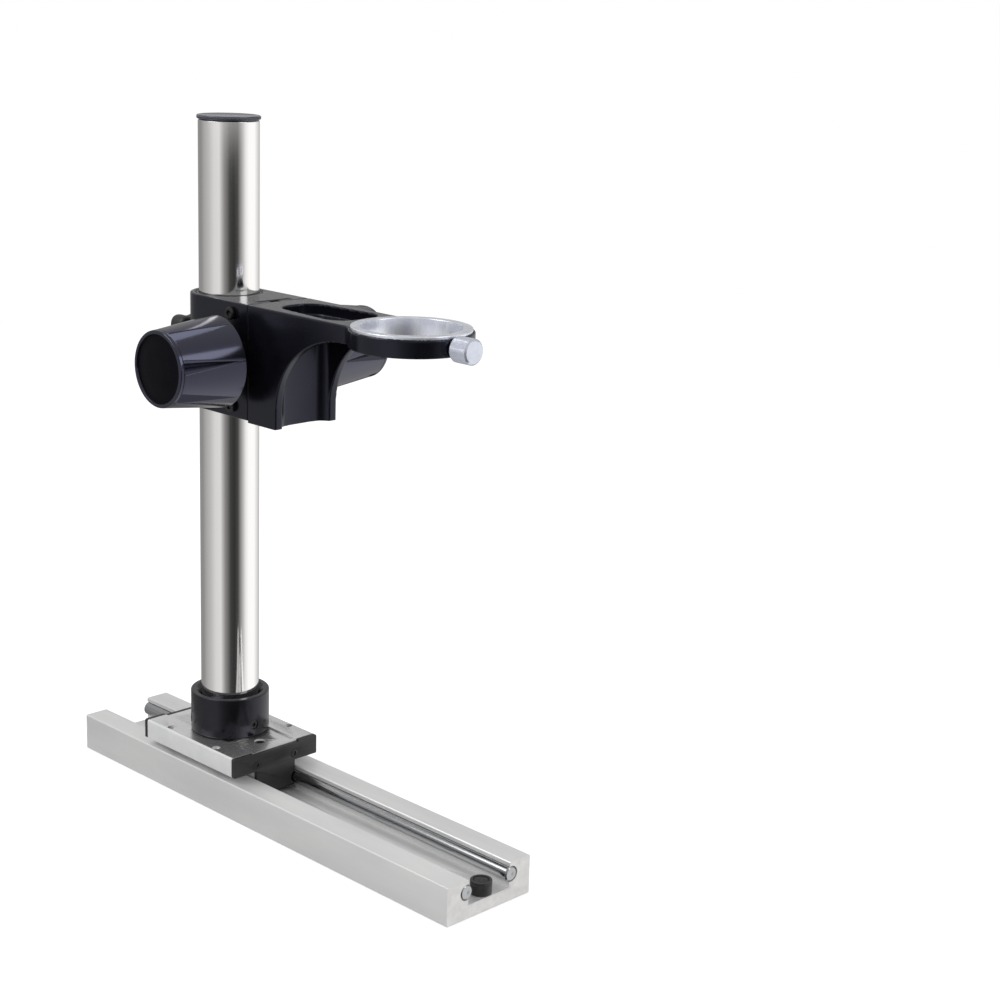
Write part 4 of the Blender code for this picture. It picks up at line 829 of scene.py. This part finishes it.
def makeBlock():
    p = blockPiece
    skin = finish["enamel"]
    radius, bore, sink = p["radius"], p["bore"], p["sink"]
    front = blockHigh.x
    half = (blockHigh.z - blockLow.z) / 2
    plan = arc((columnX, 0), radius, pi / 2, 3 * pi / 2, 60) + [(front, -radius), (front, radius)]
    block = prism("height_block", plan, blockLow.z, blockHigh.z, skin)
    boss = rod("boss", p["bossRadius"], p["bossStart"], p["bossReach"], (columnX, 0, clampZ), skin, "-X", 64)
    combine(block, [boss], "UNION")
    past = 0.01      # how far a cutting tool reaches past the wall
    column = [(0, half + past), (bore + sink + past, half + past), (bore, half - sink), (bore, sink - half),
              (bore + sink + past, -half - past), (0, -half - past)]
    rear, mouth, over = p["grooveRear"], p["grooveFront"], p["grooveOver"]
    deep = front - p["grooveDepth"]
    groove = [(deep, -rear), (front + over, -mouth), (front + over, mouth), (deep, rear)]
    tools = [
        lathe("bore", column, (columnX, 0, blockMiddle), skin, steps=160),
        rod("driveBore", p["driveBore"], -0.03, 0.03, (driveX, 0, driveZ), skin, "+Y", 64),
        prism("groove", groove, blockLow.z - over, blockHigh.z + over, skin),
        rod("stud", p["studHole"], 0.015, 0.03, (columnX, 0, clampZ), skin, "-X", 40),
    ]
    combine(block, tools, "DIFFERENCE")
    castSkin(block, p["voxel"], p["relax"])
    settle(block, "height_block", "black_enamel", "mount_block")


def makeBush():
    bush = softCopy("bush", "column_bush", finish["enamel"], blockPiece["bushEdge"])
    settle(bush, "height_bush", "black_plastic", "column_bush")


clampPiece = {
    "lobes": 5, "outer": 0.0142, "waist": 0.0112, "edge": 0.0022, "points": 160, "starDepth": 0.011,
    "hub": 0.0085, "bore": 0.0043, "hubEdge": 0.0005,
}


def makeClamp():
    p = clampPiece
    low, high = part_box("clamp_knob")
    middle = (low + high) / 2
    swing = (p["outer"] - p["waist"]) / 2
    centre = (p["outer"] + p["waist"]) / 2
    outline = []
    for k in range(p["points"]):
        angle = 2 * pi * k / p["points"]
        reach = centre - swing * cos(p["lobes"] * angle)      # one lobe hangs straight down
        outline.append((-reach * sin(angle), middle.z + reach * cos(angle)))
    back = low.x + p["starDepth"]
    knob = prism("clamp_star", outline, low.x, back, finish["acetal"], "YZ")
    addBevel(knob, p["edge"], 5)
    bake(knob, 40)
    settle(knob, "height_clamp", "black_plastic", "clamp_knob")
    length = high.x - low.x - p["starDepth"]
    profile = eased([(p["bore"], length), (p["hub"], length, p["hubEdge"]), (p["hub"], 0), (p["bore"], 0)],
                    crispEdge, closed=True)
    hub = lathe("clamp_hub", profile, (back, 0, clampZ), finish["acetal"], "+X", 64)
    settle(hub, "height_clamp", "black_plastic")


makeBlock()
makeBush()
makeClamp()
print("height block and clamp made")


# Focus knobs: a turned cone whose flutes follow one rule

knobPiece = {
    "inner": 0.0240, "outer": 0.0196, "start": 0.0305, "length": 0.0390, "edge": 0.0014, "faceEdge": 0.0007,
    "dome": 0.0012, "faceGroove": 0.0010, "crown": [(0, 1), (0.3, 0.92), (0.6, 0.66), (0.85, 0.25)],
    "faceDisc": 0.0022, "discGroove": 0.0004, "flutes": 7, "fluteDepth": 0.0038, "fluteLength": 0.0352,
    "fluteTurn": 10, "soft": 0.0004, "steps": 504, "row": 0.0006, "rowsFrom": 0.018, "hollow": 0.006,
    "shell": 0.0035, "draft": 0.001, "hub": 0.009, "bore": 0.0033, "boreDepth": 0.012, "plunge": 0.0004,
}

# Each line names a value and how it is worked out. Together: radius <= cone - (depth - sideways), where
# depth fades along the knob, and each flute comes to its depth within the plunge behind the face disc.
fluteSteps = [
    ("angle", "ARCTAN2", "y", "x"),
    ("xSquare", "MULTIPLY", "x", "x"),
    ("ySquare", "MULTIPLY", "y", "y"),
    ("square", "ADD", "xSquare", "ySquare"),
    ("radius", "SQRT", "square"),
    ("pitch", "DIVIDE", 2 * pi, "Flutes"),
    ("half", "MULTIPLY", "pitch", 0.5),
    ("otherHalf", "MULTIPLY", "half", -1.0),
    ("turn", "WRAP", "angle", "half", "otherHalf"),
    ("apart", "ABSOLUTE", "turn"),
    ("sideways", "MULTIPLY", "apart", "radius"),
    ("along", "MULTIPLY", "z", -1.0),
    ("behind", "SUBTRACT", "along", "Start"),
    ("gone", "DIVIDE", "behind", "Length"),
    ("left", "SUBTRACT", 1.0, "gone"),
    ("fade", "MAXIMUM", "left", 0.0),
    ("entry", "DIVIDE", "behind", knobPiece["plunge"]),
    ("entered", "MAXIMUM", "entry", 0.0),
    ("opened", "MINIMUM", "entered", 1.0),
    ("depth", "MULTIPLY", "Depth", "fade"),
    ("below", "SUBTRACT", "depth", "sideways"),
    ("wedge", "SMOOTH_MAX", "below", 0.0, "Softness"),
    ("notch", "MULTIPLY", "wedge", "opened"),
    ("widening", "MULTIPLY", "along", "Taper"),
    ("cone", "ADD", "Face Radius", "widening"),
    ("wall", "SUBTRACT", "cone", "notch"),
    ("limit", "MINIMUM", "radius", "wall"),
    ("divisor", "MAXIMUM", "radius", 0.00001),
    ("scale", "DIVIDE", "limit", "divisor"),
    ("newX", "MULTIPLY", "x", "scale"),
    ("newY", "MULTIPLY", "y", "scale"),
]


def fluteTree():
    # Pulls each point of the cone in to a V whose depth fades along the knob.
    labels = ("Flutes", "Depth", "Start", "Length", "Face Radius", "Taper", "Softness")
    tree, given = startTree("tapered_flutes", {label: "Float" for label in labels})
    position = addNode(tree, "GeometryNodeInputPosition").outputs[0]
    spot = addNode(tree, "ShaderNodeSeparateXYZ", {"Vector": position}).outputs
    values = {"x": spot[0], "y": spot[1], "z": spot[2], **{label: given[label] for label in labels}}
    for label, operation, *parts in fluteSteps:
        inputs = {slot: values.get(part, part) for slot, part in enumerate(parts)}
        values[label] = addNode(tree, "ShaderNodeMath", inputs, operation=operation).outputs[0]
    moved = addNode(tree, "ShaderNodeCombineXYZ", {
        "X": values["newX"], "Y": values["newY"], "Z": values["z"]})
    shaped = addNode(tree, "GeometryNodeSetPosition", {
        "Geometry": given["Geometry"], "Position": moved.outputs[0]})
    return endTree(tree, shaped.outputs["Geometry"], given["Material"])


def makeKnobs():
    k = knobPiece
    inner, outer, length, sunk = k["inner"], k["outer"], k["length"], k["faceGroove"]
    disc, groove = k["faceDisc"], k["discGroove"]
    face = outer - 1.5 * k["edge"]
    taper = (inner - outer) / length
    behind = outer + taper * disc
    shell = inner - k["shell"]
    floor = k["hollow"] - length
    outline = [(share * face, rise * k["dome"] - sunk) for share, rise in k["crown"]]
    outline += [
        (face, -sunk), (face + 0.0003, 0, crispEdge), (outer + 0.00005, 0, k["faceEdge"]),
        (behind - taper * groove, groove - disc, 0.0001), (behind - groove, 0.5 * groove - disc, 0.0001),
        (behind, -disc, 0.0001), (inner, k["edge"] - length, 0.001), (inner - k["edge"], -length, 0.0008),
        (shell, -length), (shell - k["draft"], floor, 0.0005), (k["hub"], floor, 0.0005), (k["hub"], -length),
        (k["bore"], -length, 0), (k["bore"], -k["boreDepth"]), (0, -k["boreDepth"]),
    ]
    rough = eased(outline, softEdge)
    profile = []
    for (r0, h0), (r1, h1) in zip(rough, rough[1:]):      # fine rows down the cone, for the flutes
        parts = max(1, round(hypot(r1 - r0, h1 - h0) / k["row"])) if min(r0, r1) > k["rowsFrom"] else 1
        profile += [(r0 + (r1 - r0) * i / parts, h0 + (h1 - h0) * i / parts) for i in range(parts)]
    profile.append(rough[-1])
    tree = fluteTree()
    for side, axis, sign in (("left", "-Y", -1), ("right", "+Y", 1)):
        steps = k["steps"]
        knob = lathe(f"knob_{side}", profile, (0, 0, 0), finish["phenolic"], steps=steps)
        grow(knob, tree, {
            "Flutes": float(k["flutes"]), "Depth": k["fluteDepth"], "Start": disc, "Length": k["fluteLength"],
            "Face Radius": outer, "Taper": taper, "Softness": k["soft"], "Material": finish["phenolic"]}, 40)
        knob.data.materials.append(finish["knobFace"])
        for patch in knob.data.polygons:
            if patch.center.z > -sunk - 0.0001 and patch.center.xy.length < face + 0.0001:
                patch.material_index = 1
        place = Matrix.Translation((driveX, sign * (k["start"] + length), driveZ))
        knob.data.transform(place @ axisTurns[axis] @ Matrix.Rotation(radians(k["fluteTurn"]), 4, "Z"))
        settle(knob, "focus_drive", "black_plastic", f"focus_knob_{side}")


makeKnobs()
print("focus knobs made")


# Focus arm

armPiece = {
    "halfWidth": 0.0205, "deck": 0.0092, "ringRadius": 0.0309, "ringFillet": 0.005, "web": 0.0172,
    "ribFoot": 0.0225, "rib": 0.0044, "archRadius": 0.050, "archFoot": 0.009, "archSteps": 36,
    "scoopCorner": 0.007, "pocketStart": 0.012, "pocketLength": 0.053, "pocketDepth": 0.0062,
    "pocketRear": 0.0125, "pocketFront": 0.0165, "pocketCorner": 0.0105, "edge": 0.0009,
    "archEdge": 0.0024, "deckEdge": 0.0006, "bore": 0.0280, "seat": 0.0300, "seatDepth": 0.0029,
    "thumbHole": 0.0033, "voxel": 0.0005, "relax": 4,
}


def makeArm():
    a = armPiece
    skin = finish["enamel"]
    low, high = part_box("arm_casting")
    rear, top = low.x, high.z
    under = top - a["deck"]
    half = a["halfWidth"]
    foot = low.z + a["archFoot"]
    front = rear + a["ribFoot"]
    end = front + a["archRadius"]
    angles = [pi / 2 * k / a["archSteps"] for k in range(a["archSteps"] + 1)]
    arch = [(front + a["archRadius"] * (1 - cos(t)), foot + (under - foot) * sin(t)) for t in angles]
    side = [(rear, top), (rear, low.z), (front, low.z)] + arch + [(end, top)]

    def archWeight(x, z):
        onArch = x > front - 0.0001 and z < under - 0.0005
        return 1.0 if onArch else a["edge"] / a["archEdge"]

    arm = prism("focus_arm", side, -half, half, skin, "XZ", archWeight)
    addBevel(arm, a["archEdge"], 5, "WEIGHT")
    bake(arm)

    # Top plate, flared into the ring
    fillet = a["ringFillet"]
    reach = sqrt((a["ringRadius"] + fillet) ** 2 - (half + fillet) ** 2)
    lean = atan2(half + fillet, reach)
    flare = [(rear, half)] + arc((ringX - reach, half + fillet), fillet, -pi / 2, -lean, 20)
    plan = flare + arc((ringX, 0), a["ringRadius"], pi - lean, lean - pi, 160)[1:-1]
    plan += [(x, -y) for x, y in reversed(flare)]
    deck = prism("deck", plan, under, top, skin)
    addBevel(deck, a["deckEdge"])
    bake(deck)
    combine(arm, [deck], "UNION")

    # Scoop under the plate: its wall is an arc about the ring, with a rib left on each side
    corner = a["scoopCorner"]
    inner = half - a["rib"]
    radius = ringX - rear - a["web"]
    spread = asin((inner - corner) / radius)
    edge = ringX - radius * cos(spread) + corner
    scoop = arc((ringX, 0), radius, pi - spread, pi + spread, 24)
    scoop += arc((edge, corner - inner), corner, pi + spread, 3 * pi / 2, 12)[1:]
    scoop += [(ringX, -inner), (ringX, inner)]
    scoop += arc((edge, inner - corner), corner, pi / 2, pi - spread, 12)[:-1]

    # Pocket in the plate, seat and bore of the insert, and the thumb screw's hole
    start = rear + a["pocketStart"]
    stop = start + a["pocketLength"]
    pocket = eased([(start, -a["pocketRear"]), (stop, -a["pocketFront"]), (stop, a["pocketFront"]),
                    (start, a["pocketRear"])], a["pocketCorner"], closed=True, steps=14)
    ledge = insertHigh.z - a["seatDepth"] - top
    seat, inside, past = a["seat"], a["bore"], 0.02      # past: well clear of the plate on both sides
    bore = [(0, past), (seat, past), (seat, ledge), (inside, ledge), (inside, -past), (0, -past)]
    tools = [
        prism("scoop", scoop, low.z - 0.003, under, skin),
        prism("pocket", pocket, top - a["pocketDepth"], top + 0.003, skin),
        lathe("ringBore", bore, (ringX, 0, top), skin, steps=200),
        rod("thumbHole", a["thumbHole"], 0.025, 0.04, (ringX, 0, thumbZ), skin, "+X", 48),
    ]
    combine(arm, tools, "DIFFERENCE")
    castSkin(arm, a["voxel"], a["relax"])
    settle(arm, "focus_arm", "black_enamel", "arm_casting")


makeArm()
print("focus arm made")


insertPiece = {"bore": 0.025, "wall": 0.0026, "flange": 0.0022, "flangeHeight": 0.0026, "edge": 0.0005}


def makeInsert():
    p = insertPiece
    top, low = insertHigh.z, insertLow.z
    bore, edge, step = p["bore"], p["edge"], top - p["flangeHeight"]
    outer = bore + p["wall"]
    wide = outer + p["flange"]
    profile = eased([(bore, top, edge), (wide, top, edge), (wide, step, crispEdge), (outer, step, 0),
                     (outer, low, crispEdge), (bore, low, edge)], softEdge, closed=True)
    ring = lathe("ring_liner", profile, (ringX, 0, 0), finish["insert"], steps=256)
    hole = rod("hole", armPiece["thumbHole"], 0.022, 0.03, (ringX, 0, thumbZ), finish["insert"], "+X", 48)
    combine(ring, [hole], "DIFFERENCE")
    bake(ring, 34)
    settle(ring, "focus_arm", "bright_aluminium", "ring_insert")


thumbPiece = {
    "rows": 9, "around": 44, "crest": 0.00022, "edge": 0.0009, "gap": 0.0007, "studHole": 0.0033,
    "studDepth": 0.006,
}


def diamondTree():
    # Diamond knurl: a four-sided point on every second place of a grid wrapped round the head.
    tree, given = startTree("diamond_knurl", {"Crest": "Float", "Width": "Float"})
    point = addNode(tree, "GeometryNodeMeshCone", {
        "Vertices": 4, "Radius Top": 0.0, "Radius Bottom": given["Width"], "Depth": given["Crest"]})
    return endTree(tree, scatterFacing(tree, given["Geometry"], point.outputs["Mesh"]), given["Material"])


def makeThumbScrew():
    t = thumbPiece
    edge = t["edge"]
    radius = (thumbHigh.z - thumbLow.z) / 2 - t["crest"]
    start = ringX + armPiece["ringRadius"] + t["gap"]
    length = thumbHigh.x - start
    profile = eased([(0, length), (radius - edge, length, crispEdge), (radius, length - edge), (radius, edge),
                     (radius - edge, 0, crispEdge), (t["studHole"], 0, 0), (t["studHole"], t["studDepth"]),
                     (0, t["studDepth"])], softEdge)
    head = lathe("thumb_head", profile, (start, 0, thumbZ), finish["thumb"], "+X", 96)
    settle(head, "thumb_screw", "bright_aluminium", "thumb_screw_head")
    usable = length - 2 * edge
    rows = t["rows"] * 2
    places = []
    for row in range(rows):
        x = start + edge + usable * (row + 0.5) / rows
        for k in range(t["around"]):
            angle = 2 * pi * (k + 0.5 * (row % 2)) / t["around"]
            way = Vector((0, cos(angle), sin(angle)))
            places.append((Vector((x, 0, thumbZ)) + radius * way, way))
    knurl = grow(facingPoints("thumb_knurl", places), diamondTree(), {
        "Crest": t["crest"], "Width": usable / rows, "Material": finish["thumb"]})
    settle(knurl, "thumb_screw", "bright_aluminium")


makeInsert()
makeThumbScrew()
print("ring insert and thumb screw made")


# Small and hidden solids keep their CAD shape and take their finish

dressing = {
    "shaft": ["clamp_stud", "pinion_shaft", "focus_rack", "column_foot_plug", "thumb_screw_stud",
              "slide_screw_1", "slide_screw_2", "slide_screw_3", "slide_screw_4"],
    "screw": ["roller_axle_1", "roller_axle_2", "roller_axle_3", "roller_axle_4", "column_foot_bolt",
              "slide_bar"],
}
for label, names in dressing.items():
    for name in names:
        solid = cadNodes[name]
        solid.data.materials.clear()
        solid.data.materials.append(finish[label])
for name in ("drive_bush_left", "drive_bush_right"):
    bush = softCopy(f"{name}_turned", name, finish["screw"], blockPiece["bushEdge"])
    settle(bush, "height_block", "black_oxide", name)
print("small solids dressed")


# Floor, studio and camera

studio = {
    "cameraPlace": (0.7646, -0.6364, 0.4427), "cameraTarget": (0.08129, 0.0727, 0.18378),
    "roll": 1.96, "lens": 70,
    "stripes": [(0, 0.24), (0.17, 0.25), (0.225, 0.36), (0.30, 0.48), (0.362, 0.65), (0.42, 0.69),
                (0.449, 0.42), (0.474, 0.24), (0.53, 0.05), (0.574, 0.03), (0.614, 0.06), (0.643, 0.26),
                (0.674, 0.50), (0.705, 0.80), (0.747, 0.98), (0.829, 0.98), (0.882, 0.74), (0.936, 0.55),
                (1, 0.30)],
    "heights": [(0, 0.85), (0.08, 0.8), (0.15, 0.26), (0.22, 0.3), (0.33, 0.5), (1, 0.56)],
    "room": 1.25, "floorGlow": 0.5,
    "lamps": {"key": ((-0.5, -1.1, 1.3), 0.9, 9.0), "fill": ((1.4, 0.5, 0.9), 0.8, 5.0)},
    "lampTarget": (0.05, 0, 0.2),
}


def makeCamera():
    camera = addObject("camera", bpy.data.cameras.new("camera"))
    place = Vector(studio["cameraPlace"])
    forward = (Vector(studio["cameraTarget"]) - place).normalized()
    level = forward.cross(Vector((0, 0, 1))).normalized()
    upright = level.cross(forward)
    roll = radians(studio["roll"])
    right = level * cos(roll) + upright * sin(roll)
    up = upright * cos(roll) - level * sin(roll)
    camera.matrix_world = Matrix.Translation(place) @ Matrix((right, up, -forward)).transposed().to_4x4()
    camera.data.lens = studio["lens"]
    camera.data.sensor_width = 36
    camera.data.clip_start = 0.05
    camera.data.clip_end = 20
    bpy.context.scene.camera = camera
    return -forward


def fillRamp(ramp, levels):
    stops = ramp.color_ramp.elements
    for place, level in levels[1:-1]:
        stops.new(place)
    for stop, (place, level) in zip(stops, levels):
        stop.position = place
        stop.color = (level, level, level, 1)
    return ramp.outputs["Color"]


def makeWorld(toCamera):
    # White to the camera; everything else sees a studio of light panels and one dark gap.
    world = bpy.data.worlds.new("studio")
    bpy.context.scene.world = world
    world.use_nodes = True
    tree = world.node_tree
    tree.nodes.clear()
    way = addNode(tree, "ShaderNodeTexCoord").outputs["Generated"]
    part = addNode(tree, "ShaderNodeSeparateXYZ", {"Vector": way}).outputs
    compass = addNode(tree, "ShaderNodeMath", {0: part["Y"], 1: part["X"]}, operation="ARCTAN2").outputs[0]
    ahead = atan2(toCamera.y, toCamera.x)
    for operation, numbers in (("SUBTRACT", {1: ahead}), ("WRAP", {1: pi, 2: -pi}), ("DIVIDE", {1: 2 * pi}),
                               ("ADD", {1: 0.5})):      # ends as 0 to 1 round the compass
        compass = addNode(tree, "ShaderNodeMath", {0: compass, **numbers}, operation=operation).outputs[0]
    walls = fillRamp(addNode(tree, "ShaderNodeValToRGB", {"Fac": compass}), studio["stripes"])
    ceiling = fillRamp(addNode(tree, "ShaderNodeValToRGB", {"Fac": part["Z"]}), studio["heights"])
    above = addNode(tree, "ShaderNodeMapRange", {
        "Value": part["Z"], "From Min": 0.0, "From Max": 0.1, "To Min": 0.0, "To Max": 1.0})
    sky = addNode(tree, "ShaderNodeMix", {
        "Factor": above.outputs["Result"], 6: walls, 7: ceiling}, data_type="RGBA")
    room = addNode(tree, "ShaderNodeBackground", {"Color": sky.outputs[2], "Strength": studio["room"]})
    white = addNode(tree, "ShaderNodeBackground", {"Color": (1, 1, 1, 1), "Strength": 1.0})
    seen = addNode(tree, "ShaderNodeLightPath").outputs["Is Camera Ray"]
    both = addNode(tree, "ShaderNodeMixShader", {0: seen, 1: room.outputs[0], 2: white.outputs[0]})
    addNode(tree, "ShaderNodeOutputWorld", {"Surface": both.outputs[0]})


def makeFloor():
    # Plain pale sweep that keeps the object's soft shadow; metals see the studio past it.
    bm = bmesh.new()
    bmesh.ops.create_circle(bm, cap_ends=True, segments=96, radius=1.6)
    bmesh.ops.translate(bm, verts=bm.verts, vec=(0, 0, -0.0002))
    material = bpy.data.materials.new("pale_floor")
    material.use_nodes = True
    tree = material.node_tree
    tree.nodes.clear()
    matt = addNode(tree, "ShaderNodeBsdfDiffuse", {"Color": (0.8, 0.8, 0.8, 1)})
    glow = addNode(tree, "ShaderNodeEmission", {"Color": (1, 1, 1, 1), "Strength": studio["floorGlow"]})
    lit = addNode(tree, "ShaderNodeAddShader", {0: matt.outputs[0], 1: glow.outputs[0]})
    seen = addNode(tree, "ShaderNodeLightPath").outputs["Is Camera Ray"]
    both = addNode(tree, "ShaderNodeMixShader", {0: seen, 1: matt.outputs[0], 2: lit.outputs[0]})
    addNode(tree, "ShaderNodeOutputMaterial", {"Surface": both.outputs[0]})
    floor = newPiece("floor", bm, material)
    floor.visible_glossy = False


def makeLamps():
    for name, (place, size, watts) in studio["lamps"].items():
        lamp = addObject(name, bpy.data.lights.new(name, "AREA"))
        lamp.data.size = size
        lamp.data.energy = watts
        lamp.location = place
        aim = Vector(studio["lampTarget"]) - Vector(place)
        lamp.rotation_mode = "QUATERNION"
        lamp.rotation_quaternion = aim.to_track_quat("-Z", "Y")


makeWorld(makeCamera())
makeFloor()
makeLamps()
bpy.context.scene.view_settings.view_transform = "Standard"
print("studio made")
